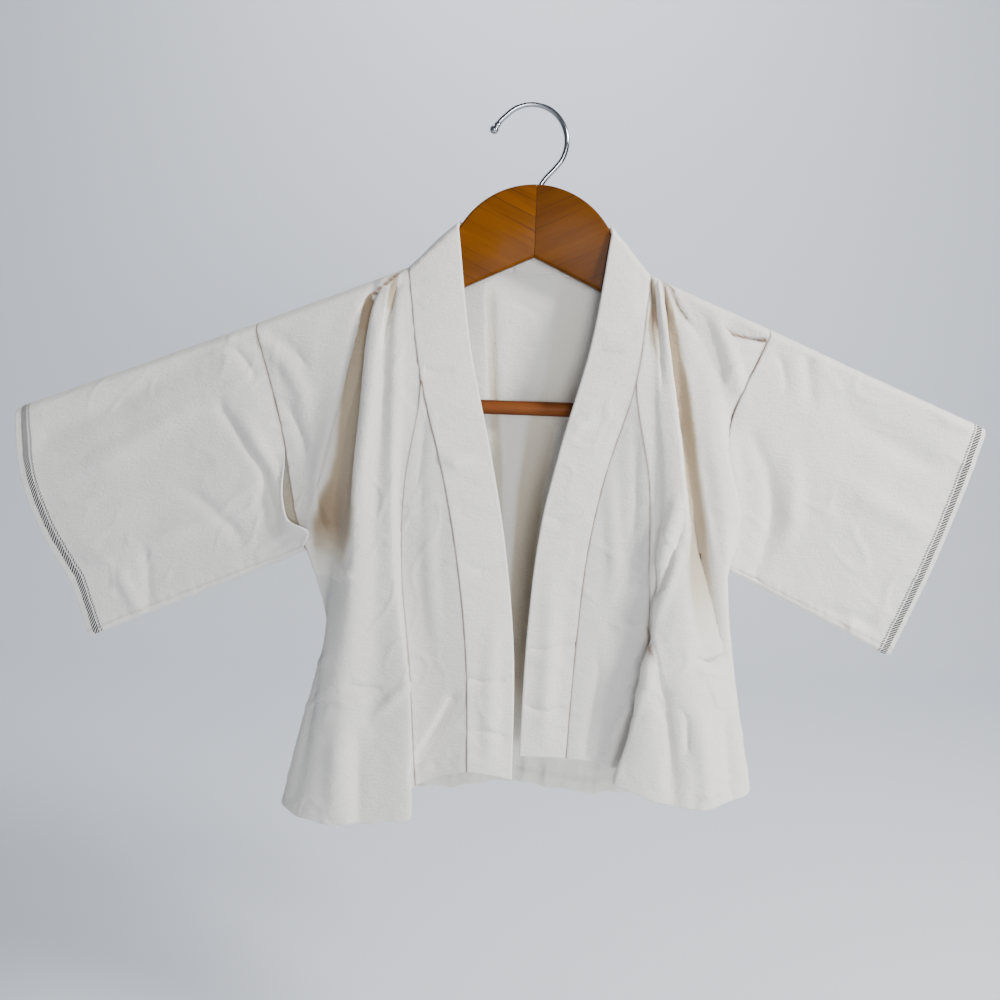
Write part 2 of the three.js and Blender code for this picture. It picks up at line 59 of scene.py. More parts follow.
LEFT_NECK, RIGHT_NECK = 79, 83  # from the hook's line to where the shoulders start
NECK_DEPTH, COLLAR_JOIN_X = 10, -9
SHOULDER_SLOPE, BOARD_SLOPE = 0.395, 0.46
OKUMI_TIP = 0.2  # share of the hang where the overlap panel starts in a point
STATIONS = np.array([0, 0.2, 0.4, 0.55, 0.75, 1])
HANGER_CENTRE, BAR_HEIGHT = 4.6, -199.5
BY_RIDGE = (-112, -122)  # heights between which puckers begin, under the shoulder ridge
OVER_BAR = (-212, -200)  # heights between which the boards begin to carry the cloth
SIDE_SEWN = (-330, -300)  # heights between which the open side ends in the armhole seam
RELIEF = {"front": 1.9, "back": 1.4, "collar": 3.0, "sleeve": 1.8, "sleeve behind": 1.6}  # strength of the creases
BOARD_THICKNESS, ARCH_RADIUS, ARCH_TOP = 12, 58.5, -50
SLEEVE_DEPTH, FOOT_SEAM = 160, 4.2  # round half the tube, and how far up the sleeve's lower seam is rolled


# ---- tables ----

def numbers(text):
    return [float(word) for word in text.split()]


def fold_rows(text):
    """Fold lines by name, from rows of: name | height of the hem | x at STATIONS | y at STATIONS | own top."""
    rows = {}
    for row in text.strip().splitlines():
        line, hem, x, y, *top = row.split("|")
        top = float(top[0]) if top else None
        rows[line.strip()] = SimpleNamespace(hem=float(hem), x=numbers(x), y=numbers(y), top=top)
    return rows


def line_rows(text):
    """(own numbers, points) of each row of: own numbers | point, point, ... with room for more lines of points."""
    rows = []
    for line in text.strip().splitlines():
        own, bar, points = line.rpartition("|")
        if bar:
            rows.append((numbers(own), []))
        rows[-1][1].extend(numbers(point) for point in points.split(",") if point.strip())
    return rows


def tables(**texts):
    return {name: line_rows(text) for name, text in texts.items()}


# a seam, and the cloth on both its sides, is drawn from one seed for the left and the next for the right
SEEDS = {"waves": 11, "nap": 21, "okumi seam": 31, "collar seam": 41, "armhole": 51, "armhole behind": 53,
         "crumples": 61}
BACK_SEEDS = {"waves": 71, "nap": 72, "crumples": 73, "hem": 75, "hem waves": 77}


@dataclass
class Side:
    """One half of the robe, with the fold lines of its front from the side edge to the collar's free edge."""
    name: str
    sign: int
    neck: float
    cuff_top: tuple
    cuff_bottom: tuple
    bulge: float  # swell of the cuff's edge, which ends at the share bulge_end
    bulge_end: float
    sleeve_foot: float
    seam_end: float  # share of the hang where the armhole seam ends
    folds: dict
    open_by: float = 2.6  # gap between sleeve and body below the seam's end

    def seed(self, what):
        return SEEDS[what] + (self.sign > 0)


LEFT = Side("left", -1, LEFT_NECK, cuff_top=(-348, -211.5), cuff_bottom=(-302.7, -372.2), bulge=12, bulge_end=0.75,
            sleeve_foot=-306, seam_end=0.28, folds=fold_rows("""
    side edge            | -482 | -182.3 -165 -154 -139 -128 -126 | -8 -8 -6 -1.3 -1 -1
    middle of the cap    | -482 | -150 -142 -147 -135 -136 -152 | -8.5 -10 -9 -4 -8 -10
    cap's folded edge    | -483.5 | -108 -123 -139 -130 -141 -161 | -8.8 -14 -14 -9 -19 -25
    deep valley          | -485.5 | -103 -117.5 -128 -125 -138 -150 | -8 -8 -8 -20 -32 -41
    main ridge           | -486.5 | -98 -103 -109 -112 -117 -122 | -9.2 -24 -32 -38 -46 -52
    shallow trough       | -486 | -92.5 -94 -96 -95 -94 -95 | -8.8 -20 -28 -35 -43 -49
    inner crest          | -482 | -87 -86 -86 -82 -70 -67 | -9.2 -23 -30 -35 -45 -48
    tuck under the crest | -474 | -83 -79 -82 -79 -76 -74 | -8.6 -20 -25 -28 -34 -33
    okumi seam           | -468 | -79 -69 -78.2 -79 -72 -66 | -8 -18 -24 -26 -29 -27
    collar seam          | -455 | -79 -69 -51.5 -41.5 -33 -29.6 | -8 -18 -23 -26.5 -28.5 -30
    collar edge          | -459 | -46.4 -36.4 -19.3 -8.5 0.4 2.6 | -8 -15 -22 -25.5 -28.5 -30 | -76
    """))
RIGHT = Side("right", 1, RIGHT_NECK, cuff_top=(320, -203), cuff_bottom=(269, -366.3), bulge=3, bulge_end=1,
             sleeve_foot=-308.3, seam_end=0.22, folds=fold_rows("""
    side edge            | -462 | 166 143 146 147 138 132 | -8 -8 -8 -3 -1 -1
    fold over the sleeve | -462 | 150 137 152 149 152 163 | -8.5 -12 -19 -14 -14 -14
    outer flank          | -461 | 132 129 141 146 154 170 | -8.8 -13 -23 -26 -27 -30
    long trough          | -466 | 93 109 124 131 143 154 | -8 -11 -19 -26 -35 -41
    main ridge           | -469 | 90 101 111 115 121 127 | -9.2 -21 -31 -37 -43 -47
    inner crest          | -455 | 87.5 92 99 98 93 73 | -9 -21 -29 -33 -38 -40
    tuck under the crest | -453 | 85.5 88 95 97 99 87 | -8.6 -19 -25 -28 -31 -32
    okumi seam           | -451 | 83 76 88 91 93.5 80 | -8 -18 -23 -25 -26.5 -25.5
    collar seam          | -442 | 83 76 57.5 48.3 43 39.6 | -8 -18 -23 -26.5 -28.5 -30
    collar edge          | -441 | 55.5 45 26.5 15.4 9.2 6.9 | -8 -15 -22 -25.5 -28.5 -30 | -76
    """))
BACK = fold_rows("""
    left side edge    | -483 | -182.3 -165 -154 -139 -128 -126 | 8 8 6 1.3 1 1
    left flank        | -488 | -140 -135 -130 -115 -110 -108 | 8.5 12 13 11 11 11
    left fold         | -490 | -100 -98 -95 -92 -86 -82 | 8.8 14 17 18 19 19
    left neck corner  | -487 | -79.9 -77 -72 -68 -64 -60 | 9 12 14 15 16 16
    left neck edge    | -487 | -76.5 -68 -62 -57 -52 -48 | 9.3 11.6 13.4 14.2 15 15
    inner trough      | -483 | -60 -48 -40 -36 -30 -28 | 10 10 10.5 11 12 12
    centre fold       | -480 | -5 0 2 0 0 0 | 10 13 15 15 16 16
    right trough      | -484 | 62 46 38 34 36 40 | 10 10.5 10 10 11 11
    right neck edge   | -487 | 79.3 70 62 57 58 62 | 9.3 11.6 13.2 14 14.6 14.6
    right neck corner | -487 | 84.2 80 74 70 72 76 | 9 12 14 15 16 16
    right fold        | -488 | 102 94 90 88 90 94 | 8.8 14 17 18 19 19
    right flank       | -482 | 130 118 120 118 115 114 | 8.5 11 13 11 11 11
    right side edge   | -465 | 166 143 146 147 138 132 | 8 8 8 3 1 1
    """)

# creases: half width | x z height, ...; troughs are below zero, and behind, outward is away from the front
PRESS = tables(
    left="""
    2.2 | -96 -118 0, -100 -130 1.5, -103 -163 1.4, -105 -196 1.1, -108 -230 0.9, -111 -264 0.8, -114 -290 0
    3 | -100 -124 -1, -104 -135 -1.9, -108 -163 -1.9, -111 -196 -1.6, -114 -230 -1.3, -118 -264 -1, -122 -290 0
    1.6 | -105 -131 -1.2, -101 -125 -1.2, -90 -117 -0.9, -82 -111 0
    3 | -83 -112 0, -86 -118 -1.5, -92 -143 -1.9, -96 -163 -1, -98 -185 0
    3.4 | -92 -118 0, -94 -130 1.3, -99 -156 1.5, -102 -197 1, -106 -238 0.8, -108 -280 0
    4.5 | -103 -122 -0.8, -108 -140 -1.6, -117 -173 -2, -128 -220 -1.6, -140 -262 -1, -143 -280 0
    6.5 | -136 -262 0, -133 -272 -2.2, -130 -283 -2.4, -124 -299 -0.6, -122 -315 0
    3.2 | -181 -146 -0.5, -172 -153 -1.3, -159 -162 -1.5, -150 -172 -0.9, -145 -180 0
    5 | -177 -160 0.6, -160 -176 1.4, -150 -194 0.9, -147 -214 0
    4 | -166 -196 0, -158 -206 -1.1, -150 -226 -1.3, -147 -250 0
    6 | -150 -320 0, -146 -345 1.4, -149 -380 1.8, -156 -420 1.2, -160 -455 0
    5 | -136 -330 0, -135 -360 -1.5, -138 -398 -1.9, -143 -440 -1.2, -147 -475 0
    3 | -66 -386 0, -71 -388 1, -80 -396 1.5, -89.5 -406 1, -97 -412 0
    2.2 | -114 -387 0, -110 -388 -0.9, -100 -390 -1.1, -91 -391 -0.6, -86 -391 0
    2 | -120 -401 0, -112 -402 0.7, -103 -400 0.8, -96 -397 0
    4 | -38 -394 0, -41 -400 -1, -52 -424 -1.6, -65 -447 -1.1, -69 -456 0
    5 | -57 -250 0, -60 -290 1, -57 -330 1.2, -52 -370 0
    4 | -62 -190 0, -66 -215 -0.8, -68 -250 -0.9, -66 -280 0
    7 | -115 -410 0, -117 -440 1.4, -118 -470 0.8, -118 -486 0
    5.5 | -104 -415 0, -104 -440 -1.3, -103 -470 -1.6, -102 -487 -1
    2.4 | -130 -303 0, -124 -309 0.9, -114 -314 0.8, -108 -316 0""",
    right="""
    2 | 90.5 -112 0, 92 -122 0.4, 96.5 -150 0.4, 100 -176 0.4, 104.5 -209 0.4, 110 -243 0.4, 115 -270 0.4,
       121 -298 0
    4.4 | 100 -130 0, 104 -170 -2, 112 -211 -2.6, 121 -260 -2.4, 127 -295 -1.6, 132 -330 0
    2.4 | 120 -215 0, 126 -250 0.9, 132 -278 0.9, 138 -305 0
    1.7 | 87.5 -108 0.5, 89 -116 1.3, 91 -132 1.2, 94 -150 0
    1.7 | 91.5 -110 0.5, 94.5 -118 1.2, 99 -134 1.3, 104 -152 0.4
    1.9 | 96 -112 0.5, 102 -121 1.3, 110 -132 1.1, 117 -141 0
    2.6 | 103 -115 0.4, 112 -126 1.2, 124 -142 0.9, 131 -156 0
    3 | 76 -404 0, 84 -392 1.1, 92 -372 1.3, 96 -352 0
    2.6 | 97 -399 0, 104 -410 1, 106 -430 1, 103 -446 0
    2.4 | 112 -392 0, 120 -404 -1, 122 -424 -1.1, 120 -440 0
    2.4 | 128 -352 0, 136 -355 0.9, 146 -351 0.7
    3 | 85 -112 0, 86 -122 -1.5, 90 -143 -2, 92 -166 -1.2, 94 -186 0
    3 | 92 -113 -0.6, 95 -124 -1.5, 102 -151 -2.2, 111 -193 -1.9, 116 -220 -1.6, 124 -255 -1.6, 128 -290 -1.8,
       136 -325 -1.5, 142 -349 -0.9, 147 -368 0
    2.6 | 94 -112 -0.9, 104 -129 -1.7, 113 -139 -0.8, 119 -148 0
    3.4 | 90 -118 0, 93 -132 0.4, 98 -166 0.4, 105 -205 0.4, 110 -240 0
    7 | 110 -117 -1.2, 129 -155 -2.2, 140 -188 -1.3, 144 -208 0
    4.5 | 118 -122 0, 133 -143 1.3, 145 -170 1.2, 151 -192 0
    3 | 133 -140 0, 139 -141.5 -1, 152 -144 -1.7, 163 -147.5 -1.3
    3.6 | 140 -134 0, 152 -137 1.3, 163 -141 1
    4 | 107 -250 0, 106 -259 1.2, 101 -282 1.8, 95 -309 1.4, 92 -324 0
    3.2 | 110 -286 0, 109 -293 1.1, 103 -313 1.6, 98 -332 0.9, 95 -345 0
    3.2 | 112 -268 0, 108 -284 -1.2, 101 -304 -1.5, 96 -322 0
    3.5 | 94 -342 0, 93 -356 0.9, 93 -382 1.7, 82 -405 1.9, 73 -424 1.6, 72 -448 1.2
    6 | 99 -372 0, 103 -389 -1.8, 108 -418 -2.5, 113 -447 -2, 115 -466 -1.2
    2.2 | 122 -362 0, 128 -364 -1, 136 -366 -1.3, 147 -361 -0.7, 152 -359 0
    2.4 | 124 -369 0, 130 -371 0.9, 138 -373 0.9, 147 -369 0
    4.5 | 142 -206 0, 145 -222 1, 153 -240 1.4, 156 -258 1, 150 -275 0
    4 | 150 -292 0, 147 -306 -1.2, 150 -330 -1.5, 156 -360 -0.8, 160 -385 0
    6 | 128 -390 0, 131 -415 1.5, 136 -445 1.6, 138 -466 1
    5 | 148 -392 0, 150 -418 -1.2, 154 -445 -1.4, 156 -464 -1
    4.5 | 60 -230 0, 63 -262 0.9, 67 -300 1.1, 66 -335 0
    4 | 75 -196 0, 78 -225 -0.8, 80 -262 -1, 79 -300 -0.8, 76 -330 0
    3.5 | 57 -356 0, 60 -380 -1, 57 -410 -1.2, 54 -438 -0.8
    2.2 | 66 -342 0, 74 -346 0.9, 84 -345 0.9, 90 -341 0""",
    back="""
    3.4 | -24 -118 0, -23.8 -129 1.1, -20.3 -192 1.6, -15.9 -239 1.2, -14 -300 0.8, -12 -380 0
    8 | 34 -118 0.8, 25.6 -190 2, 14.4 -208 2.2, 8 -260 2, 5.5 -310 1.8, 3 -380 1.4, 0 -470 0.8
    4.5 | 52 -118 0, 47 -150 -1, 38 -200 -1.3, 30 -250 -1, 26 -300 0
    6 | -52 -116 0, -49 -150 -1, -43 -200 -1.4, -38 -260 -1, -34 -330 0
    6 | -160 -146 0.5, -140 -168 1.9, -122 -196 1.5, -112 -235 0
    7 | 140 -140 0.5, 124 -166 2, 112 -200 1.6, 106 -245 0
    5 | -150 -170 0, -136 -190 -1.4, -124 -225 -1.2, -120 -260 0
    5 | 136 -168 0, 126 -192 -1.5, 121 -228 -1.2, 120 -262 0
    7 | -104 -255 0, -100 -310 2, -98 -380 2.4, -97 -440 2, -96 -486 1.2
    5.5 | -84 -280 0, -80 -340 -1.5, -77 -410 -1.9, -76 -480 -1.4
    7 | 98 -250 0, 96 -305 1.8, 99 -370 2.4, 103 -440 1.9, 104 -480 1.3
    5 | 80 -275 0, 78 -335 -1.4, 80 -400 -1.8, 84 -480 -1.2
    6 | -52 -300 0, -50 -360 1.6, -46 -420 1.9, -45 -486 1.4
    6 | 50 -310 0, 48 -370 1.5, 46 -430 1.9, 47 -485 1.3
    4.5 | -28 -350 0, -27 -400 -1.3, -26 -450 -1.5, -26 -484 -1.1
    2.4 | -60 -232 0, -48 -236 0.8, -34 -234 0.7, -26 -231 0
    2.4 | 62 -262 0, 74 -266 -0.8, 86 -263 0""",
    collar_left="""
    2.4 | -70 -174 -0.4, -60 -175.5 -0.8, -50 -174.5 -0.4
    2.6 | -33 -386 -0.5, -20 -388 -0.9, -8 -386 -0.5
    4 | -62 -230 0, -44 -236 0.7, -30 -234 0
    3.2 | -40 -305 0, -24 -309 -0.7, -10 -306 -0.3
    6 | -12 -330 0, -15 -380 0.6, -14 -430 0.7, -13 -452 0
    2.2 | -28 -425 -0.4, -18 -423 -0.7, -6 -426 -0.3""",
    collar_right="""
    2.4 | 41 -160 -0.4, 52 -158 -0.8, 64 -158.5 -0.4
    2.2 | 6 -364 -0.5, 20 -363 -0.9, 39 -359 -0.7, 48 -357 0
    4 | 22 -214 0, 38 -209 0.8, 54 -205 0
    3 | 14 -270 -0.3, 28 -273 -0.7, 44 -268 0
    6 | 24 -300 0, 25 -345 0.6, 24 -400 0.8, 23 -436 0
    2.4 | 10 -404 -0.4, 22 -407 -0.8, 36 -404 -0.3""",
    sleeve_left="""
    9 | -338 -238 0, -328 -230 -1.4, -276 -204 -1.8, -226 -175 -1.2, -205 -166 0
    8 | -330 -262 0, -290 -246 1.2, -245 -218 1.4, -212 -196 0
    4 | -207 -196 0, -206 -208 -1.2, -177 -248 -2.2, -171 -282 -1.4, -172 -296 0
    5 | -194 -205 0, -183 -228 1.3, -170 -252 1.2, -166 -264 0
    4 | -262 -300 0, -261 -312 -1.1, -260 -344 -0.9, -259 -352 0
    4.5 | -280 -318 0, -278 -328 1.2, -268 -351 1, -264 -358 0
    7 | -316 -300 0, -290 -312 1, -250 -300 1.4, -214 -282 1, -192 -276 0
    5 | -240 -262 0, -222 -270 -1, -200 -290 -1.3, -192 -304 0
    6 | -182 -258 0, -175 -272 -2.2, -171 -284 -2, -168 -294 0
    5.5 | -163 -250 0, -159 -266 1.2, -156 -284 2, -151 -296 3, -147 -299 2.2
    3 | -214 -160 0, -196 -166 -1, -186 -178 -1.2, -183 -190 0""",
    sleeve_right="""
    6 | 156 -204 0, 160 -213 -0.9, 172 -236 -1.6, 179 -267 -2, 176 -290 -1.5, 169 -317 -0.7
    6 | 186 -215 0, 190 -240 1.1, 192 -270 1.3, 188 -298 0
    5 | 191 -150 0, 193 -159 -1.1, 197 -183 -0.9, 199 -196 0
    9 | 206 -180 0, 240 -206 -1.2, 280 -226 -1.5, 306 -236 0
    8 | 210 -232 0, 240 -252 1.2, 272 -268 1.3, 296 -276 0
    5 | 196 -330 0, 222 -334 -0.9, 250 -342 -1.2, 262 -352 0
    4 | 238 -330 0, 240 -344 0.9, 244 -356 0.7
    3.2 | 168 -152 0, 176 -162 -1, 180 -176 -0.8, 180 -188 0
    3 | 280 -190 0, 292 -198 0.8, 306 -202 0.7""",
    sleeve_left_behind="""
    8 | -330 -240 0, -296 -250 1.4, -250 -236 1.7, -208 -205 0
    7 | -300 -212 0, -262 -214 -1.3, -222 -196 -1.6, -196 -176 0
    5 | -214 -230 0, -196 -252 -1.4, -184 -280 -1.3, -178 -300 0
    5 | -262 -290 0, -254 -312 1.2, -252 -338 0.8
    4 | -205 -262 0, -186 -262 1.1, -170 -270 1""",
    sleeve_right_behind="""
    8 | 190 -186 0, 226 -216 1.5, 262 -236 1.5, 296 -240 0
    7 | 188 -214 0, 214 -246 -1.4, 248 -270 -1.4, 286 -280 0
    5 | 172 -214 0, 184 -240 1.2, 190 -274 1.1, 184 -306 0
    5 | 214 -300 0, 224 -322 -1.1, 228 -344 -0.8""",
)

# folded edges, where the cloth stands higher on one side of the line: fall, side | x z height, ...
LEDGES = tables(
    left="""
    7 1 | -105 -124 0, -104.2 -130 1.6, -103.3 -136.5 2.2, -103.8 -143 2.2, -104.8 -150 2.1, -105.3 -156.6 2.1,
       -106.6 -165 2, -108.2 -180 1.9, -110.6 -208 1.7, -110.9 -235 1.4, -112 -258 0.9, -113 -280 0
    5 1 | -106.5 -127 0.3, -101.8 -123.7 1.5, -95.2 -118.8 1.6, -88.5 -114 1.3, -82.6 -109.8 0.3
    4 1 | -85.7 -113 0, -86.9 -119.3 1.2, -87.7 -126 1.6, -88.5 -132.7 1.4, -89.4 -138 1, -91.4 -152 0""",
    right="""
    4 -1 | 90.6 -114 0, 91.6 -123 0.6, 92.6 -129.6 0.8, 93.9 -136.2 0.8, 95.7 -149.3 0.8, 98.4 -162.5 0.8,
       100.2 -175.8 0.8, 102 -189 0.8, 103.8 -202.3 0.8, 106.5 -215.6 0.8, 108.6 -235.6 0.8, 115.6 -277.7 0.8,
       116 -295.9 0.7, 119.3 -309.2 0.5, 122 -324 0
    7 1 | 93.1 -114 0, 95.2 -123 1, 96.8 -129.6 1.4, 99.1 -136.2 1.6, 103.1 -149.3 1.7, 105.8 -162.5 1.7,
       109.9 -175.8 1.7, 112.3 -189 1.7, 114.9 -202.3 1.6, 117.6 -215.6 1.5, 119.7 -235.6 1.4, 126.9 -277.7 1.2,
       129.8 -295.9 1.1, 134.4 -322.8 0.8, 143 -350 0
    3.5 1 | 84.2 -109 0.5, 85.3 -121 1.6, 85.6 -130 1.8, 85.9 -136.5 1.6, 86 -143 1.4, 86.8 -150 1.1,
       87.9 -156.4 0.7, 89.8 -165 0
    5 -1 | 91 -109 0.5, 98.4 -117 1.7, 102.1 -126 2.1, 106.4 -132.7 1.7, 111.5 -138 0
    5 1 | 134 -137 0, 140.4 -144.1 1.4, 152.6 -146.1 1.9, 164.5 -147 1.9
    4 1 | 107.5 -300 0.3, 103.4 -310.5 1, 96.5 -325 1.4, 94.3 -343 1.5, 97.4 -357 1.4, 102.1 -378 1, 105.4 -389 0
    4 -1 | 129 -366.3 0, 132.9 -362.6 0.9, 140 -361.6 1.2, 147 -361.6 1
    4 1 | 130.1 -372 0, 137.1 -385.2 1.1, 140.6 -396.6 1.2, 149 -398.5 0.8""",
)

# painted shadow, as sharp dark lines where the cloth is folded on itself: half width | x z share, ...
FOLD_SHADOW_LINES = tables(
    left="""
    0.5 | -106.2 -127.5 1.6, -105 -125.6 2.6, -101.8 -123.8 3, -95.4 -118.8 3, -88.6 -114 2.8, -83.1 -109.8 1.6
    1 | -104.6 -128 1.3, -103.7 -137 1.4, -105.6 -158 1, -108.4 -181 0.4""",
    right="""
    1.2 | 83.4 -107 1.4, 84.5 -117 2, 85 -129 1.6, 85.4 -140 0.7
    0.9 | 91.2 -113 0.9, 92.6 -122 1.1, 94.4 -136 0.7, 97 -150 0.3
    1.1 | 91.4 -110.3 1.2, 98.4 -117 2, 102.4 -125.9 2.2, 107.3 -133.1 2, 111.7 -137.6 0.6
    1.1 | 135.8 -139.6 0.8, 140.2 -144.2 2.4, 152.6 -146.5 2.6, 163.2 -146.6 2.8
    0.9 | 131 -364 0.3, 140 -362 0.9, 147 -362 0.4
    1 | 93.2 -338 0.8, 92.6 -346 1.9, 94.6 -357 1.6, 96 -366 0.4""",
)

# painted warm light caught in the hollows, turning to painted deep shade where the share passes 0.6: | x z share
# half-width, ...
HOLLOW_LIGHT_AND_SHADE = tables(
    left="""
    | -104.2 -125 1.4 0.8, -105.8 -127.4 1.9 1.8, -106.6 -130.3 1.9 2.8, -107.2 -136.6 1.9 4.2,
       -107.9 -143.1 1.7 4.4, -109.2 -150 1.35 4.4, -109.9 -156.3 1.3 4.4, -110.3 -163.5 1.25 4.6,
       -112 -170 1.2 4.3, -113.5 -180 1.15 5, -116.6 -209 1.15 7, -119 -236 1.2 9, -121.4 -254 1.25 11,
       -124.6 -268 1.4 14, -127.6 -284 1.45 15, -130 -298 1 14, -130 -322 0 10
    | -87 -113 0.9 1.5, -89.2 -119.3 1.1 2.3, -90.4 -126 1.15 2.7, -91.6 -132.7 1.05 2.8, -92.4 -138 0.6 2.6,
       -94.4 -150 0.25 2.8, -95.6 -164 0 2.8
    | -147 -330 0 5, -146 -360 0.2 6, -150 -420 0.16 6, -155 -470 0.05 6
    | -43 -404 0.15 3, -52 -424 0.25 4, -65 -447 0.15 4""",
    right="""
    | 92.4 -114 0.9 1.1, 94.8 -122.8 1.3 2.3, 96.2 -129.4 1.3 2.8, 98.2 -136 1.3 3.3, 101.4 -149 1.3 4.3,
       104.2 -162.5 1.25 4.4, 107.2 -175.6 1.22 5.5, 109.8 -189.3 1.2 6.1, 111.8 -202.6 1.2 6.4,
       114.3 -216 1.15 6.5, 116.6 -236 1.12 6.8, 120.2 -256 1.1 6.8, 123.6 -278.8 1.05 7.6, 123.8 -296.8 1 9.5,
       126 -310.2 0.9 10, 128.4 -323.6 0.75 10, 132 -337.2 0.55 10, 137.6 -351.4 0.25 8.8, 139 -364 0 8.6
    | 84.6 -112 1 1.4, 85.6 -121.2 1.4 2.3, 85.9 -129.9 1.5 2.7, 85.6 -136.5 1.4 3, 85.6 -143.2 1.15 3,
       86.4 -149.8 0.9 2.8, 87.4 -156.4 0.65 2.6, 89.4 -170 0.2 2
    | 99.6 -119 0.3 1.2, 102 -126 0.75 2.2, 106 -132 0.7 2, 110.6 -137 0.2 1.2
    | 103 -388 0.1 5, 108 -418 0.2 6, 113 -447 0.2 6, 115 -466 0.1 6""",
    back="""
    | 34 -118 0.3 12, 26 -190 0.5 11, 15 -212 0.7 11, 9 -260 0.85 10, 6 -310 0.9 9, 5 -400 0.9 9, 5 -440 0.4 10
    | -24 -118 0.2 3.5, -24 -129 0.6 3.5, -20 -192 0.75 3.5, -16 -239 0.7 4, -14 -300 0.6 4
    | -150 -240 0.6 6, -146 -290 0.9 6, -138 -330 0.6 6""",
)

# shade of the band, the ridges and the neck: | x z share half-width, ...
SHADE = tables(
    left="""
    | -70 -205 0.1 10, -70 -260 0.45 18, -62 -330 0.5 22, -54 -400 0.5 24, -52 -455 0.3 24""",
    right="""
    | 72 -200 0.1 10, 74 -260 0.5 16, 72 -330 0.6 20, 68 -400 0.55 24, 62 -446 0.5 24
    | 107.4 -120.5 0.3 3, 115.4 -132.1 0.45 4, 121.7 -148.5 0.5 5, 128 -161.7 0.5 6.5, 133.6 -175 0.4 7,
       138 -192 0.2 6
    | 103.3 -300 0.2 4, 102 -325 0.5 5.5, 101.4 -347 0.5 5.5, 103 -365 0.4 5
    | 106.4 -389 0.2 5, 112 -398 0.2 8, 110.5 -424 0.12 6, 108 -452 0.1 6""",
    back="""
    | -46 -96 1.2 17, -42 -133 1.3 17, -36 -170 0.8 14, -28 -205 0 10""",
)


# ---- curves and sections ----

def smoothstep(x, low, high):
    t = np.clip((np.asarray(x, float) - low) / (high - low), 0, 1)
    return t * t * (3 - 2 * t)


def bell(distance, reach):
    return np.exp(-((distance / reach) ** 2))


def unit(vectors):
    return vectors / np.maximum(np.linalg.norm(vectors, axis=-1, keepdims=True), 1e-9)


def at(values, v):
    """Cubic value at shares v through the values given at the STATIONS."""
    values, v = np.asarray(values, float), np.asarray(v, float)
    k = np.clip(np.searchsorted(STATIONS, v, side="left") - 1, 0, len(STATIONS) - 2)
    rise = np.diff(values) / np.diff(STATIONS)
    slope = np.concatenate([rise[:1], (rise[:-1] + rise[1:]) / 2, rise[-1:]])
    width = STATIONS[k + 1] - STATIONS[k]
    s = (v - STATIONS[k]) / width
    return ((2 * s**3 - 3 * s**2 + 1) * values[k] + (s**3 - 2 * s**2 + s) * width * slope[k]
            + (3 * s**2 - 2 * s**3) * values[k + 1] + (s**3 - s**2) * width * slope[k + 1])


def below_shoulder(x, z):
    """Depth of points under the shoulder ridge."""
    neck = np.where(x < 0, LEFT_NECK, RIGHT_NECK)
    return NECK_HEIGHT - SHOULDER_SLOPE * np.maximum(0, np.abs(x) - neck) - z


def shoulder_height(x):
    return below_shoulder(x, 0)


def fold_points(row, v):
    """A fold line's points at shares v of the hang; v below 0 climbs the brow to the shoulder fold."""
    v = np.asarray(v, float)
    top = (shoulder_height(row.x[0]) if row.top is None else row.top) - BROW
    share = np.maximum(0, v)
    angle = np.clip(1 + v, 0, 1) * math.pi / 2
    z = top + (row.hem - top) * share + BROW * np.cos(angle)
    return np.stack([at(row.x, share), at(row.y, share) * np.sin(angle), z], axis=-1)


def okumi_points(side, v, gap=0.1):
    """The okumi seam lies on the collar seam down to the okumi's tip, and leaves it below."""
    seam, collar = side.folds["okumi seam"], side.folds["collar seam"]
    points, on_collar = fold_points(seam, v), fold_points(collar, v)
    share = np.clip((v - OKUMI_TIP) / (1 - OKUMI_TIP), 0, 1)
    points[:, 2] = on_collar[:, 2] + (seam.hem - collar.hem) * share
    points[:, 0] = side.sign * np.maximum(side.sign * points[:, 0], side.sign * on_collar[:, 0] + gap)
    above = v <= OKUMI_TIP
    points[above] = on_collar[above] + [side.sign * gap, 0, 0]
    return points


def front_section(side, v):
    return np.stack([okumi_points(side, v) if line == "okumi seam" else fold_points(row, v)
                     for line, row in side.folds.items()], axis=1)


def along_section(points, places):
    """Centripetal curve through each row of points, read at places counted in points."""
    padded = np.concatenate([2 * points[:, :1] - points[:, 1:2], points,
                             2 * points[:, -1:] - points[:, -2:-1]], axis=1)
    step = np.sqrt(np.linalg.norm(np.diff(padded, axis=1), axis=2))
    k = np.clip(np.floor(places).astype(int), 0, points.shape[1] - 2)
    t = (places - k)[None, :, None]
    p0, p1, p2, p3 = (padded[:, k + i] for i in range(4))
    d0, d1, d2 = (np.maximum(step[:, k + i, None], 1e-3) for i in range(3))
    t1 = ((p1 - p0) / d0 - (p2 - p0) / (d0 + d1) + (p2 - p1) / d1) * d1
    t2 = ((p2 - p1) / d1 - (p3 - p1) / (d1 + d2) + (p3 - p2) / d2) * d1
    return p1 + t1 * t + (-3 * p1 + 3 * p2 - 2 * t1 - t2) * t**2 + (2 * p1 - 2 * p2 + t1 + t2) * t**3


def curve_through(points, count):
    """A single smooth line through points, read at evenly counted places."""
    return along_section(np.array(points, float)[None], np.linspace(0, len(points) - 1, count))[0]


def span_places(points, first, last, step=STEP):
    """Places from one point to another, about one step apart on average down the cloth."""
    chord = np.linalg.norm(np.diff(points, axis=1), axis=2)
    counts = [max(4, round(float(np.percentile(chord[:, k], 75)) / step)) for k in range(first, last)]
    return np.concatenate([first + i + np.arange(n) / n for i, n in enumerate(counts)] + [[last]])


def hang_shares(start, length, step=STEP):
    """Shares down the hang, close together over the brow."""
    brow = np.linspace(start, 0, 9)[:-1] if start < 0 else np.array([])
    first = max(0, start)
    return np.concatenate([brow, np.linspace(first, 1, round(length * (1 - first) / step))])


# ---- soft forms laid over the sections ----

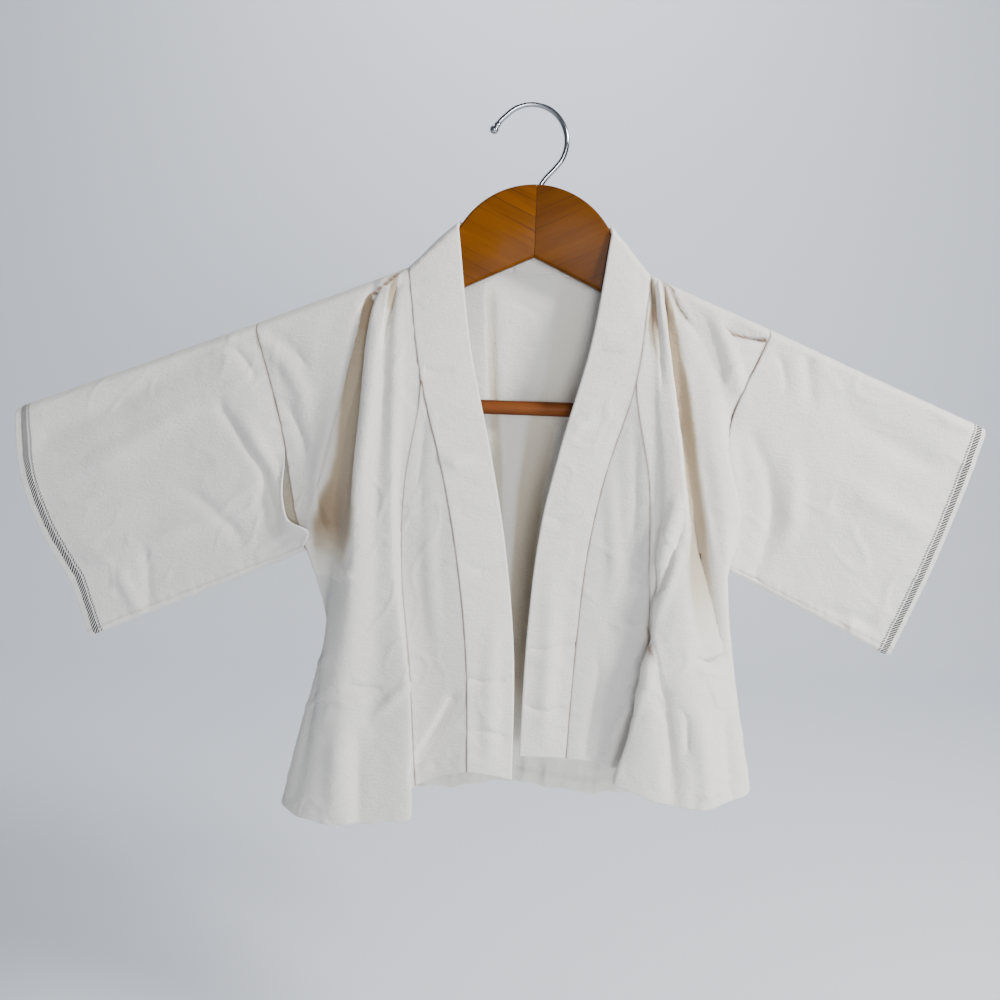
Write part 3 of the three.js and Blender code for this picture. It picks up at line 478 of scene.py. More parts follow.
def nearest(x, z, line):
    """Distance of points to a line of x, z, value and maybe half width; the line's value there, and the side."""
    best = np.full(x.shape, 1e9)
    value, hand = np.zeros_like(x), np.zeros_like(x)
    for (x0, z0, value0, *width0), (x1, z1, value1, *width1) in zip(line, line[1:]):
        dx, dz = x1 - x0, z1 - z0
        t = np.clip(((x - x0) * dx + (z - z0) * dz) / (dx * dx + dz * dz), 0, 1)
        distance = np.hypot(x - x0 - t * dx, z - z0 - t * dz)
        if width0:
            distance /= width0[0] + (width1[0] - width0[0]) * t
        closer = distance < best
        value = np.where(closer, value0 + (value1 - value0) * t, value)
        hand = np.where(closer, np.sign((z - z0) * dx - (x - x0) * dz), hand)
        best = np.minimum(distance, best)
    return best, value, hand


def press(x, z, creases):
    """Height of the listed troughs and ridges at points of the front view; narrow ones are sharper."""
    total = np.zeros_like(x)
    for (width,), line in creases:
        distance, height, _ = nearest(x, z, line)
        total += height * np.exp(-((distance / width) ** (1.4 if width < 4 else 2)))
    return total


def ledge(x, z, edges):
    """Height of the folded edges: a sharp step that dies away on its higher side."""
    total = np.zeros_like(x)
    for (fall, side), line in edges:
        distance, height, hand = nearest(x, z, line)
        signed = hand * distance * side
        total += height * smoothstep(signed, -0.6, 0.9) * np.exp(-np.maximum(signed, 0) / fall)
    return total


def in_bands(x, z, bands):
    """Share of each point inside soft-edged bands whose half width changes along them."""
    total = np.zeros_like(x)
    for _, line in bands:
        away, share, _ = nearest(x, z, line)
        total = np.maximum(total, share * (1 - smoothstep(away, 0.7, 1.3)))
    return total


def fold_share(x, z, name, dim=0):
    """Above zero, the share of warm light between the layers; below zero, the share of shade, at least dim."""
    warm = in_bands(x, z, HOLLOW_LIGHT_AND_SHADE[name])
    return np.where(warm > 0.05, warm, warm - np.maximum(in_bands(x, z, SHADE[name]), dim) * (1 - warm / 0.05))


def off_the_arm(height, below):
    """Hollows fade out over the hanger's arm, which holds the cloth up; ridges run nearly to the shoulder."""
    return height * np.where(height < 0, smoothstep(below, 4, 13), smoothstep(below, 0, 5))


def ripple(u, v, length, angle, start):
    return np.sin(2 * math.pi / length * (u * math.cos(angle) + v * math.sin(angle)) + start)


def uneven(u, v, seed, size, short=24, long=80, lean=0.3):
    """Low waves that run mostly down the cloth, none of them like the next."""
    rng = np.random.default_rng(seed)
    total = np.zeros_like(u)
    for _ in range(16):
        length, angle, share = rng.uniform(short, long), rng.normal(0, lean), rng.uniform(0.4, 1)
        total += share * ripple(u, v, length, angle, rng.uniform(0, 6.28))
    return total * size / 4


def crumple(u, v, seed, size, short=22, long=55):
    """Fine crossing creases, in patches."""
    rng = np.random.default_rng(seed)
    level, patch = np.zeros_like(u), np.zeros_like(u)
    for _ in range(7):
        level += ripple(u, v, rng.uniform(short, long), rng.uniform(0, 3.14), rng.uniform(0, 6.28))
        patch += ripple(u, v, rng.uniform(60, 130), rng.uniform(0, 3.14), rng.uniform(0, 6.28))
    return size * (bell(level, 0.55) - 0.4) * smoothstep(patch, -0.5, 2.2)


def pucker(distance, along, seed, size=0.16, reach=4.5):
    """Small waves along a sewn line, which die out away from it."""
    rng = np.random.default_rng(seed)
    wave = np.zeros_like(along)
    for _ in range(7):
        wave += rng.uniform(0.4, 1) * np.sin(2 * math.pi * along / rng.uniform(6, 19) + rng.uniform(0, 6.28))
    return wave * size / 2 * bell(distance, reach)


def nap_of(u, v, seed):
    """The cloth's finest unevenness."""
    return uneven(u, v, seed, 0.09, 7, 17, 0.8)


def laid(grid, normal, height, pinch=1.3):
    """The grid raised by height, with its hollows drawn together."""
    moved = grid + normal * height[..., None]
    for axis in (0, 1):
        step = np.gradient(grid, axis=axis)
        length = np.maximum(np.linalg.norm(step, axis=2), 0.05)
        slope = np.clip(np.gradient(height, axis=axis) / length, -0.8, 0.8)
        moved -= step * (slope * pinch / length * smoothstep(length, 0.3, 0.9))[..., None]
    return moved


# ---- cloth as closed shells ----

RIM_STEPS = np.array([0, 0.07, 0.24, 0.52, 0.9])  # shares of a rim's radius where its grid is close
RIM = np.sqrt(1 - (1 - RIM_STEPS) ** 2)
TURNS = {"left": -1, "right": 1, "top": 0, "foot": 2}  # quarter turns that bring an edge to the first row
INSIDE = [1, 1, 1, 0.5]  # shares of the cloth's values on its inner side
BACK_OUTSIDE = [1, 1, 0.1, 1]  # the light caught inside the back hardly shows from behind


def rounded(grid, **radii):
    """Adds close steps inside the named edges, and gives each point's share of the thickness in their rims."""
    for edge, radius in radii.items():
        turned = np.rot90(grid, TURNS[edge])
        pull = turned[1] - turned[0]
        length = np.linalg.norm(pull, axis=1, keepdims=True)
        room = np.minimum(1, length / (1.25 * radius))
        steps = [turned[0] + pull / np.maximum(length, 1e-6) * (radius * f) * room for f in RIM_STEPS]
        grid = np.rot90(np.concatenate([steps, turned[1:]]), -TURNS[edge])
    rim = np.ones(grid.shape[:2])
    for edge in radii:
        np.rot90(rim, TURNS[edge])[:len(RIM)] *= RIM[:, None]
    return grid, rim


def run_lengths(grid, axis):
    """Distance along a grid's rows or columns, from its first point."""
    total = np.cumsum(np.linalg.norm(np.diff(grid, axis=axis), axis=2), axis=axis)
    return np.insert(total, 0, 0, axis=axis)


def grid_normals(grid, wrap=False, toward=-1):
    """Unit normals of a grid, and whether they were flipped; toward is the sign of their mean Y."""
    across = np.roll(grid, -1, axis=1) - np.roll(grid, 1, axis=1) if wrap else np.gradient(grid, axis=1)
    normal = unit(np.cross(across, np.gradient(grid, axis=0)))
    outward = normal * (grid - grid.mean(axis=1, keepdims=True)) if wrap else normal[..., 1] * toward
    return (-normal, True) if np.sum(outward) < 0 else (normal, False)


def upright(normal):
    """Normals along the shoulder ridge, where front and back meet: no lean to either side."""
    level = normal * [1, 0, 1]
    length = np.linalg.norm(level, axis=-1, keepdims=True)
    return np.where(length > 0.3, level / np.maximum(length, 1e-6), [0.0, 0.0, 1.0])


def add(name, data):
    obj = bpy.data.objects.new(name, data)
    bpy.context.scene.collection.objects.link(obj)
    return obj


def new_mesh(name, vertices, faces, cloth=None, scale=MM):
    mesh = bpy.data.meshes.new(name)
    mesh.from_pydata((np.asarray(vertices, float) * scale).tolist(), [], faces)
    if cloth is not None:
        cloth = cloth.astype(np.float32)
        mesh.attributes.new("cloth", "FLOAT_VECTOR", "POINT").data.foreach_set("vector", cloth[:, :3].ravel())
        mesh.attributes.new("seam", "FLOAT", "POINT").data.foreach_set("value", cloth[:, 3].ravel())
    mesh.validate()
    mesh.update()
    mesh.shade_smooth()
    return add(name, mesh)


@contextmanager
def editing(obj):
    bm = bmesh.new()
    bm.from_mesh(obj.data)
    yield bm
    bm.to_mesh(obj.data)
    bm.free()


def sharpen(bm, degrees):
    for edge in bm.edges:
        if len(edge.link_faces) == 2 and edge.calc_face_angle(0) > math.radians(degrees):
            edge.smooth = False


def shell(name, grid, normal, flipped, outer, inner, rim, cloth, wrap=False, flat_top=False, outside=(1, 1, 1, 1)):
    """A closed thin wall. outer and inner are its faces' heights over the grid, rim their share at the edges."""
    rows, cols = grid.shape[:2]
    middle = (outer - inner) / 2
    up, low = middle + (outer - middle) * rim, middle - (inner + middle) * rim
    tied = (rim < 1e-6).ravel()  # both faces share the vertices of a rounded edge
    front = np.arange(rows * cols)
    behind = np.where(tied, front, rows * cols + np.cumsum(~tied) - 1)
    front, behind = front.reshape(rows, cols), behind.reshape(rows, cols)

    def quads(index):
        if wrap:
            index = np.concatenate([index, index[:, :1]], axis=1)
        return np.stack([index[:-1, :-1], index[1:, :-1], index[1:, 1:], index[:-1, 1:]], axis=-1).reshape(-1, 4)

    turn = -1 if flipped else 1
    faces = [quads(front)[:, ::-turn], quads(behind)[:, ::turn]]
    if flat_top:
        faces.append(np.stack([front[0, :-1], front[0, 1:], behind[0, 1:], behind[0, :-1]], axis=-1)[:, ::turn])
    flat = cloth.reshape(-1, 4)
    points = [(grid + normal * height[..., None]).reshape(-1, 3) for height in (up, low)]
    obj = new_mesh(name, np.concatenate([points[0], points[1][~tied]]), np.concatenate(faces).tolist(),
                   np.concatenate([flat * outside, flat[~tied] * INSIDE]))
    if flat_top:
        top = {*front[0].tolist(), *behind[0].tolist()}
        for edge in obj.data.edges:
            edge.use_edge_sharp = edge.vertices[0] in top and edge.vertices[1] in top
    return obj


# ---- panels that hang from the shoulder ----

def survey(grid, toward=-1):
    """The places and distances by which soft forms are laid on a hung panel; calm is 0 on the hanger's arm."""
    across, down = run_lengths(grid, 1), run_lengths(grid, 0)
    x, z = grid[..., 0], grid[..., 2]
    below = below_shoulder(x, z)
    return SimpleNamespace(grid=grid, toward=toward, x=x, z=z, across=across, far=across[:, -1:] - across, down=down,
                           above_hem=down[-1:] - down, below=below, calm=smoothstep(below, 5, 16))


def hung_panel(name, on, rim, height, wave, fold, seam, outside=(1, 1, 1, 1)):
    """Lays soft forms on a surveyed panel, and gives its shell and the stitches of its hem."""
    grid = laid(on.grid, grid_normals(on.grid, toward=on.toward)[0], height)
    on_arm = smoothstep(on.below, 4, 7) * smoothstep(on.z, *OVER_BAR)  # kept clear of the boards there
    y = grid[..., 1]
    grid[..., 1] = np.where(y * on.toward < BOARD_FACE, y + (BOARD_FACE * on.toward - y) * on_arm, y)
    # the hem's waves die out above it and towards both edges
    grid[..., 2] += wave * np.exp(-on.above_hem / 14) * smoothstep(on.across, 0, 12) * smoothstep(on.far, 0, 12)
    normal, flipped = grid_normals(grid, toward=on.toward)
    ridge = np.abs(grid[0, :, 1]) < 1
    normal[0, ridge] = upright(normal[0, ridge])
    outer = np.full(grid.shape[:2], CLOTH / 2)
    inner = outer + HEM_TURN * (1 - smoothstep(on.above_hem, HEM - 0.6, HEM + 0.5))
    cloth = np.stack([on.across, on.down, fold, seam], axis=-1)
    obj = shell(name, grid, normal, flipped, outer, inner, rim, cloth, flat_top=ridge.any(), outside=outside)
    row = int(np.argmin(np.abs(on.above_hem[:, grid.shape[1] // 2] - HEM)))
    return obj, hem_stitches(name + "_hem_stitches", grid[row], normal[row], on.across[row])


def tube_faces(rings, sides, first=0):
    """Faces of a tube closed at both ends, whose vertices are numbered ring by ring."""
    number = first + np.arange(rings * sides).reshape(rings, sides)
    after = np.roll(number, -1, axis=1)
    walls = np.stack([number[:-1], after[:-1], after[1:], number[1:]], axis=-1).reshape(-1, 4)
    return walls.tolist() + [number[0, ::-1].tolist(), number[-1].tolist()]


STITCH, STITCH_GAP = 2.1, 2.3  # mean lengths along a hem; both vary from stitch to stitch


def hem_stitches(name, line, normal, run):
    """Short sunk stitches on the face of the cloth, along the top of the turned-up hem."""
    thick = np.array([0.06, 0.2, 0.24, 0.2, 0.06])[:, None, None]
    turn = np.arange(6)[None, :, None] * math.pi / 3
    vertices, faces = [], []
    place, k = 2.5, 0
    while place < run[-1] - 3.5:
        length = STITCH + 0.5 * math.sin(k * 1.7)
        stations = np.linspace(place, place + length, len(thick))
        centre, out = (np.stack([np.interp(stations, run, part) for part in values.T], axis=1)[:, None]
                       for values in (line, normal))
        side = unit(np.cross(out, np.gradient(centre, axis=0)))
        faces += tube_faces(len(thick), 6, len(vertices))
        ring = centre + out * (CLOTH / 2 + 0.04 + thick * 0.8 * np.sin(turn)) + side * thick * np.cos(turn)
        vertices.extend(ring.reshape(-1, 3))
        place += length + STITCH_GAP + 0.4 * math.sin(k * 2.3)
        k += 1
    return new_mesh(name, vertices, faces)


def front_panel(name, side, first_line, last_line, seed, dim):
    """One cloth panel of the front, between two named fold lines."""
    lines = list(side.folds)
    first, last = lines.index(first_line), lines.index(last_line)
    overlap = first > 0
    section = front_section(side, hang_shares(OKUMI_TIP + 0.004 if overlap else RIDGE, FRONT_HANG))
    grid, rim = rounded(along_section(section, span_places(section, first, last)), left=0.8, right=0.8, foot=1.3)
    on = survey(grid)
    x, z = on.x, on.z
    height = off_the_arm(RELIEF["front"] * press(x, z, PRESS[side.name]), on.below)
    height += ledge(x, z, LEDGES[side.name]) * smoothstep(on.below, 0, 4)
    height += uneven(x, -z * 0.35, side.seed("waves"), 0.6) * on.calm
    height += crumple(x, z, side.seed("crumples"), 0.75) * on.calm
    height += nap_of(x, z, side.seed("nap")) * on.calm
    seam = bell(on.far, 0.75) + bell(on.across, 0.75)
    if overlap:
        height += pucker(on.across, z, side.seed("okumi seam")) + pucker(on.far, z, side.seed("collar seam"))
        wave = 0
    else:
        height += pucker(on.far, z, side.seed("okumi seam"))
        height += pucker(on.across, z, side.seed("armhole"), 0.3) * smoothstep(z, *SIDE_SEWN) * on.calm
        wave = uneven(on.across, on.down, seed + 3, 0.7, 18, 60)
        seam += 0.6 * bell(on.across, 0.8)
    height += pucker(np.abs(on.above_hem - HEM), on.across, seed, 0.3, 5)
    seam = np.clip(seam, 0, 1.5)
    if not overlap:  # the armhole seam ends where the side is open
        seam *= 1 - smoothstep(-on.across, -2, -1) * smoothstep(z, *SIDE_SEWN[::-1])
    # the fold lines add painted shadow to the seam share
    seam = np.maximum(seam, press(x, z, FOLD_SHADOW_LINES[side.name]))
    return hung_panel(name, on, rim, height, wave, fold_share(x, z, side.name, dim), seam)


def back_panel(name):
    v = hang_shares(RIDGE, BACK_HANG, BACK_STEP)
    section = np.stack([fold_points(row, v) for row in BACK.values()], axis=1)
    climb = v < 0
    neck_edge = NECK_SEAM_HEIGHT - 0.25
    for k, row in enumerate(BACK.values()):
        if -LEFT_NECK < row.x[0] < RIGHT_NECK:
            section[climb, k, 1] = row.y[0]
            section[climb, k, 2] = neck_edge + (NECK_HEIGHT - BROW - neck_edge) * (1 + v[climb])
    places = span_places(section, 0, len(BACK) - 1, BACK_STEP)
    grid, rim = rounded(along_section(section, places), left=0.8, right=0.8, foot=1.3)
    on = survey(grid, toward=1)
    x, z = on.x, on.z
    height = off_the_arm(RELIEF["back"] * press(x, z, PRESS["back"]), on.below)
    height += crumple(x, z, BACK_SEEDS["crumples"], 0.5) * on.calm
    height += uneven(x, -z * 0.35, BACK_SEEDS["waves"], 0.45) * on.calm
    height += nap_of(x, z, BACK_SEEDS["nap"]) * on.calm
    for side, distance in ((LEFT, on.across), (RIGHT, on.far)):
        height += pucker(distance, z, side.seed("armhole behind"), 0.25) * smoothstep(z, *SIDE_SEWN) * on.calm
    height += pucker(np.abs(on.above_hem - HEM), on.across, BACK_SEEDS["hem"], 1.5, 9)
    wave = uneven(on.across, on.down, BACK_SEEDS["hem waves"], 0.9, 18, 60)
    seam = np.clip(bell(on.far, 0.75) + bell(on.across, 0.75), 0, 1)
    return hung_panel(name, on, rim, height, wave, fold_share(x, z, "back"), seam, BACK_OUTSIDE)


# ---- collar ----

# how the band turns round the neck: share of the way to its join | depth behind the ridge, share of its climb
NECK_TURN = np.array([(0, 0.6, 0), (0.02, 4.6, 0.05), (0.06, 8.3, 0.3), (0.12, 9.8, 0.7), (0.2, NECK_DEPTH, 1)])
NECK_SHARES = [0.004, 0.01, 0.016, 0.024, 0.033, 0.043, 0.055, 0.07, 0.088, 0.11, 0.135, 0.16,
               *np.linspace(0.18, 1, 36)]
HOLLOW = 5.0  # depth that counts as a full hollow
BAND_HALF, BAND_SWELL = 1.15, 0.45  # half thickness of the folded band at its edges, and what its middle adds


def hollowness(grid, reach):
    """How far each point lies behind its neighbours along the row, as a share."""
    y = grid[..., 1]
    n = max(1, int(reach / STEP))
    total = np.cumsum(np.pad(y, ((0, 0), (n + 1, n)), mode="edge"), axis=1)
    blur = (total[:, 2 * n + 1:] - total[:, :-2 * n - 1]) / (2 * n + 1)
    return np.clip((y - blur) / HOLLOW, 0, 1)


def collar(name, side, seed):
    """Half of the collar: down one front edge, over the shoulder and round to the join behind the neck."""
    v = hang_shares(-1, FRONT_HANG)[::-1]
    s = np.linspace(0, 1, COLLAR_COLUMNS)
    down = along_section(front_section(side, v), list(side.folds).index("collar seam") + s)
    join_x = COLLAR_JOIN_X + side.sign * 0.02
    share = np.array(NECK_SHARES)
    depth, climb = (np.interp(share, NECK_TURN[:, 0], NECK_TURN[:, i]) for i in (1, 2))

    def behind_neck(line, height, turn):
        """From a fold line's top at the shoulder to the join, at that height."""
        x, _, z = fold_points(side.folds[line], np.array([-1.0]))[0]
        return np.stack([x + (join_x - x) * turn, depth, z + (height - z) * climb], axis=-1)

    start = behind_neck("collar seam", NECK_SEAM_HEIGHT, share**1.4)
    end = behind_neck("collar edge", COLLAR_TOP_HEIGHT, np.sin(share * math.pi / 2) ** 2)
    grid = np.concatenate([down, start[:, None] + (end - start)[:, None] * s[None, :, None]])
    over_shoulder = slice(len(v) - 6, len(v) + 14)  # rows eased where the band bends
    for _ in range(3):
        grid[1:-1][over_shoulder] = ((grid[:-2] + 2 * grid[1:-1] + grid[2:]) / 4)[over_shoulder]
    grid, rim = rounded(grid, left=1.1, right=1.6, top=1.6)
    normal, _ = grid_normals(grid)
    across, along = run_lengths(grid, 1), run_lengths(grid, 0)
    x, z = grid[..., 0], grid[..., 2]
    shoulder = along[len(v)].mean()
    front = smoothstep(along, shoulder + 2, shoulder - 10)
    height = RELIEF["collar"] * press(x, z, PRESS[f"collar_{side.name}"]) * front
    shared = RELIEF["front"] * press(x, z, PRESS[side.name]) * smoothstep(across, 5, 0) * front
    height += off_the_arm(shared, below_shoulder(x, z))
    shared = uneven(x, -z * 0.35, side.seed("waves"), 0.5) + crumple(x, z, side.seed("crumples"), 0.5)
    height += shared * smoothstep(z, *BY_RIDGE) * front * smoothstep(across, 9, 0)
    height += crumple(along, across, seed + 5, 0.55, 16, 40) * smoothstep(across, 2, 9)
    height += uneven(along, across, seed, 0.35, 18, 60) * smoothstep(across, 2, 12)
    height += uneven(along, across, seed + 1, 0.10, 7, 16, 0.7)
    height += pucker(across, z, side.seed("collar seam")) * front
    grid = grid + normal * height[..., None]
    normal, flipped = grid_normals(grid)
    full = BAND_HALF + BAND_SWELL * np.sin(math.pi * np.clip(across / across[:, -1:], 0, 1)) ** 0.8
    full += uneven(along, across * 0.5, seed + 2, 0.12, 20, 50)
    # painted warm light in the band's hollows
    cloth = np.stack([along, across, hollowness(grid, 10) * 0.3, bell(across, 0.8)], axis=-1)
    obj = shell(name, grid, normal, flipped, full, full, rim, cloth)
    with editing(obj) as bm:
        bmesh.ops.holes_fill(bm, edges=[edge for edge in bm.edges if edge.is_boundary], sides=0)
        bmesh.ops.recalc_face_normals(bm, faces=bm.faces)
    return obj


# ---- sleeves ----

SLEEVE_LENGTH, SLEEVE_STRAIGHT = 165, 152  # from body to cuff, and down the flat part of the tube
OVER_BOARD = 0.34  # share of the sleeve that its board holds up
HALF_GAP, CUFF_CLOSES, CUFF_FORWARD = 8, 4, 5  # the tube's half depth on the board, and its change up to the cuff
BAND_DRAW = 8  # distance from the cuff where the woven band draws the cloth in


def sleeve_start(side, t, stand_off=0.2):
    """The sleeve's edge at the body: on the armhole seam, then clear of the body's side."""
    row = side.folds["side edge"]
    top = shoulder_height(row.x[0])
    z = top + (side.sleeve_foot - top) * t
    share = np.maximum(0, (z - top + BROW) / (row.hem - top + BROW))
    opening = smoothstep(share, side.seam_end, side.seam_end + 0.08) * side.open_by
    return np.stack([at(row.x, share) + side.sign * (stand_off + opening), np.zeros_like(z), z], axis=-1)


def cuff_edge(side, t):
    swell = np.where(t < side.bulge_end, side.bulge * np.sin(math.pi * t / side.bulge_end), 0)
    x, z = (top + (bottom - top) * t for top, bottom in zip(side.cuff_top, side.cuff_bottom))
    return np.stack([x + side.sign * swell, np.zeros_like(z), z], axis=-1)


def sleeve(name, side, seed):
    """A flattened tube, open at the cuff and towards the body."""
    fold_share = BROW / SLEEVE_DEPTH
    bend = np.radians(np.linspace(0, 90, 9))[:-1]
    straight = np.linspace(fold_share, 1 - fold_share, round(SLEEVE_STRAIGHT / STEP))
    t_front = np.concatenate([fold_share * (1 - np.cos(bend)), straight, 1 - fold_share * (1 - np.cos(bend[::-1]))])
    gap_front = np.concatenate([np.sin(bend), np.ones(len(straight)), np.sin(bend[::-1])])
    t = np.concatenate([t_front, t_front[-2:0:-1]])
    gap = np.concatenate([gap_front, -gap_front[-2:0:-1]])
    s = np.linspace(0, 1, round(SLEEVE_LENGTH / STEP))
    start, end = sleeve_start(side, t), cuff_edge(side, t)
    if side.sign > 0:  # in front, the right sleeve stays closed on the body
        start += (sleeve_start(replace(side, open_by=0.25), t) - start) * np.clip(gap, 0, 1)[:, None]
    grid = start[None] + (end - start)[None] * s[:, None, None]
    past = smoothstep(s, OVER_BOARD, 1)[:, None]
    slack = (1 - 0.5 * smoothstep(t, 0.45, 1))[None]
    grid[..., 1] = -CUFF_FORWARD * past - (HALF_GAP - CUFF_CLOSES * past) * slack * gap[None]
    grid, rim = rounded(grid, top=0.8, foot=0.7)
    normal, _ = grid_normals(grid, wrap=True)
    reach, around = run_lengths(grid, 0), run_lengths(grid, 1)
    from_cuff = reach[-1:] - reach
    x, z = grid[..., 0], grid[..., 2]
    front, back = (np.clip(turn * gap, 0, 1)[None] ** 1.5 for turn in (1, -1))
    body = off_the_arm(RELIEF["front"] * press(x, z, PRESS[side.name]), below_shoulder(x, z))
    height = (RELIEF["sleeve"] * press(x, z, PRESS[f"sleeve_{side.name}"]) + body * bell(reach, 9)) * front
    height += RELIEF["sleeve behind"] * press(x, z, PRESS[f"sleeve_{side.name}_behind"]) * back
    flat = np.abs(gap)[None]
    height += uneven(reach * 0.8, around, seed, 0.5, 26, 90, 0.7) * flat * smoothstep(reach, 0, 14)
    height += crumple(reach, around, seed + 6, 0.7, 24, 58) * smoothstep(reach, 0, 10) * flat
    height += nap_of(reach, around, seed + 1) * smoothstep(reach, 0, 5)
    height += pucker(reach, z, side.seed("armhole"), 0.3) * front * smoothstep(z, *BY_RIDGE)
    height += pucker(reach, z, side.seed("armhole behind"), 0.25) * back * smoothstep(z, *BY_RIDGE)
    # the seam along the bottom is rolled a little to the front, and the woven band draws the cuff in
    from_seam = (1 - t)[None] * SLEEVE_DEPTH - FOOT_SEAM
    height += (pucker(np.abs(from_seam), reach, seed + 3, 0.28, 4) - 0.55 * bell(from_seam, 0.9)) * front
    height += pucker(np.abs(from_cuff - BAND_DRAW), around, seed + 4, 0.22, 6)
    grid = laid(grid, normal, height, 0.8)
    low = smoothstep(t, 0.52, 0.7)[None] * (1 - smoothstep(t, 0.985, 1))[None]
    if side.sign < 0:
        # the open edge: the front layer rolls outward, the layer behind shows inside it, the corner puffs out
        behind = bell(reach, 12) * low * back
        corner = bell(reach, 7) * bell(t[None] - 0.93, 0.055)
        puff = bell(reach - 3, 6) * bell(t[None] - 0.92, 0.06) * front
        grid[..., 0] += 6.5 * behind + 13 * corner * (0.5 + 0.5 * front) - 3.4 * bell(reach, 3.6) * low * front
        grid[..., 1] -= 4.2 * bell(reach, 6) * low * front + 5.0 * behind + 4.5 * puff
        grid[..., 2] += 6.0 * corner
    normal, flipped = grid_normals(grid, wrap=True)
    outer = CLOTH / 2 * (1 - 0.35 * smoothstep(from_cuff, 5, 3))
    inner = outer + 0.5 * smoothstep(reach, 9, 8) * low
    seam = 1.5 * bell(reach, 0.8) * (1 - low) + bell(reach, 1.6) * low * back + 0.5 * bell(from_seam, 0.7) * front
    # painted shade over the left sleeve, fading in from the body, and painted warm light on the layer behind where
    # it shows inside the open edge
    shade = 0.95 * smoothstep(reach, 0, 30) if side.sign < 0 else 0
    fold = bell(reach, 16) * low * back - shade * (1 - low * back)
    cloth = np.stack([around, from_cuff, fold, np.clip(seam, 0, 1)], axis=-1)
    return shell(name, grid, normal, flipped, outer, inner, rim, cloth, wrap=True)


# ---- the hanger ----

BOARD_TIP = [(193, -162), (203, -173), (210, -188), (211, -200), (207, -208), (199, -209), (191, -202), (180, -189),
             (165, -176)]  # distance from the hanger's middle, height


def arm_outline(side):
    def seat(distance, drop=0.0):
        return distance, shoulder_height(HANGER_CENTRE + side.sign * distance) - 1.8 - drop

    neck = abs(side.sign * side.neck - HANGER_CENTRE) + 1
    arch = [(d, ARCH_TOP - ARCH_RADIUS + math.sqrt(ARCH_RADIUS**2 - d * d)) for d in np.linspace(0, 51, 26)]
    shoulder = [(neck, NECK_HEIGHT - 4.2), seat(neck + 12), seat(100), seat(135), seat(165), seat(180, 1.5)]
    tip = curve_through([seat(180, 1.5), *BOARD_TIP], 60)[1:]
    under = [(d, -97.4 - BOARD_SLOPE * d) for d in (148, 110, 75, 40, 15, 0)]
    return [(HANGER_CENTRE + side.sign * d, z) for d, z in [*arch, *shoulder, *tip, *under]]


def hanger_arm(name, side):
    """One board, cut square at the mitre and eased along every other edge."""
    shift = side.sign * 0.12  # half the gap at the mitre
    outline = arm_outline(side)
    n = len(outline)
    vertices = [(x + shift, y, z) for y in (-BOARD_THICKNESS / 2, BOARD_THICKNESS / 2) for x, z in outline]
    walls = [[i, n + i, n + (i + 1) % n, (i + 1) % n] for i in range(n)]
    obj = new_mesh(name, vertices, [[*range(n)], [*range(n, 2 * n)][::-1], *walls])
    mitre = (HANGER_CENTRE + shift) * MM
    with editing(obj) as bm:
        bmesh.ops.recalc_face_normals(bm, faces=bm.faces)
        eased = [edge for edge in bm.edges
                 if abs(edge.verts[0].co.y - edge.verts[1].co.y) < 1e-6
                 and any(abs(vert.co.x - mitre) > 1e-5 for vert in edge.verts)]
        bmesh.ops.bevel(bm, geom=eased, offset=1.9 * MM, segments=5, profile=0.5, affect="EDGES", clamp_overlap=True)
        for face in bm.faces:
            face.smooth = True
        sharpen(bm, 32)
        bmesh.ops.triangulate(bm, faces=[face for face in bm.faces if len(face.verts) > 4])
    return obj


def tube(name, points, radii, sides):
    """A round tube through points, closed at both ends, with a radius at each point."""
    way = unit(np.gradient(points, axis=0))
    side = unit(np.cross(way, [0, 1, 0]))
    turn = np.linspace(0, 2 * math.pi, sides, endpoint=False)[None, :, None]
    ring = side[:, None] * np.cos(turn) + np.cross(side, way)[:, None] * np.sin(turn)
    vertices = (points[:, None] + ring * radii[:, None, None]).reshape(-1, 3)
    obj = new_mesh(name, vertices, tube_faces(len(points), sides))
    with editing(obj) as bm:
        bmesh.ops.recalc_face_normals(bm, faces=bm.faces)
        sharpen(bm, 40)
    return obj


def hook():
    """The wire: a hook that opens a little, a bend down to its socket, and a ball on its free end."""
    wire, bow, ball = 1.7, 23.5, 2.9  # radii
    opens_from = 140  # degrees round the bow, from where the free end leaves it
    points = []
    for angle in range(165, -46, -15):
        turn, reach = math.radians(angle), bow + max(0, angle - opens_from) * 0.1
        points.append((reach * math.cos(turn), 0, wire - bow + reach * math.sin(turn)))
    points += [(9, 0, -47), (5.6, 0, -54), (HANGER_CENTRE, 0, -63), (HANGER_CENTRE, 0, -72)]
    line = curve_through(points, 260)
    run = np.insert(np.cumsum(np.linalg.norm(np.diff(line, axis=0), axis=1)), 0, 0)
    knob = np.linspace(3.0, 0.0, 12)[:-1]
    points = np.concatenate([line[0] + unit(line[0] - line[1]) * knob[:, None], line])
    run = np.concatenate([-knob, run])
    round_end = np.sqrt(np.clip(1 - ((run + 0.2) / ball) ** 2, 0.0, 1)) * ball
    neck = wire + 0.5 * bell(run - 3.4, 1.0)
    radii = np.where(run < 2.6, np.maximum(round_end, np.where(run > 0, neck, 0.05)), neck)
    return tube("wire_hook", points, np.maximum(radii, 0.05), 32)


def bar():
    """The dowel, with rounded ends."""
    half, radius, rings = 192, 5.0, 90
    end = [(194.4, 3.9), (194.2, 4.4), (193.6, 4.8)]  # distance from the middle, radius
    xs = np.array([-x for x, _ in end] + [*np.linspace(-half, half, rings)] + [x for x, _ in end[::-1]])
    radii = np.array([r for _, r in end] + [radius] * rings + [r for _, r in end[::-1]])
    points = np.stack([xs + HANGER_CENTRE, np.zeros_like(xs), np.full_like(xs, BAR_HEIGHT)], axis=-1)
    return tube("trouser_bar", points, radii, 40)


# ---- finishes ----

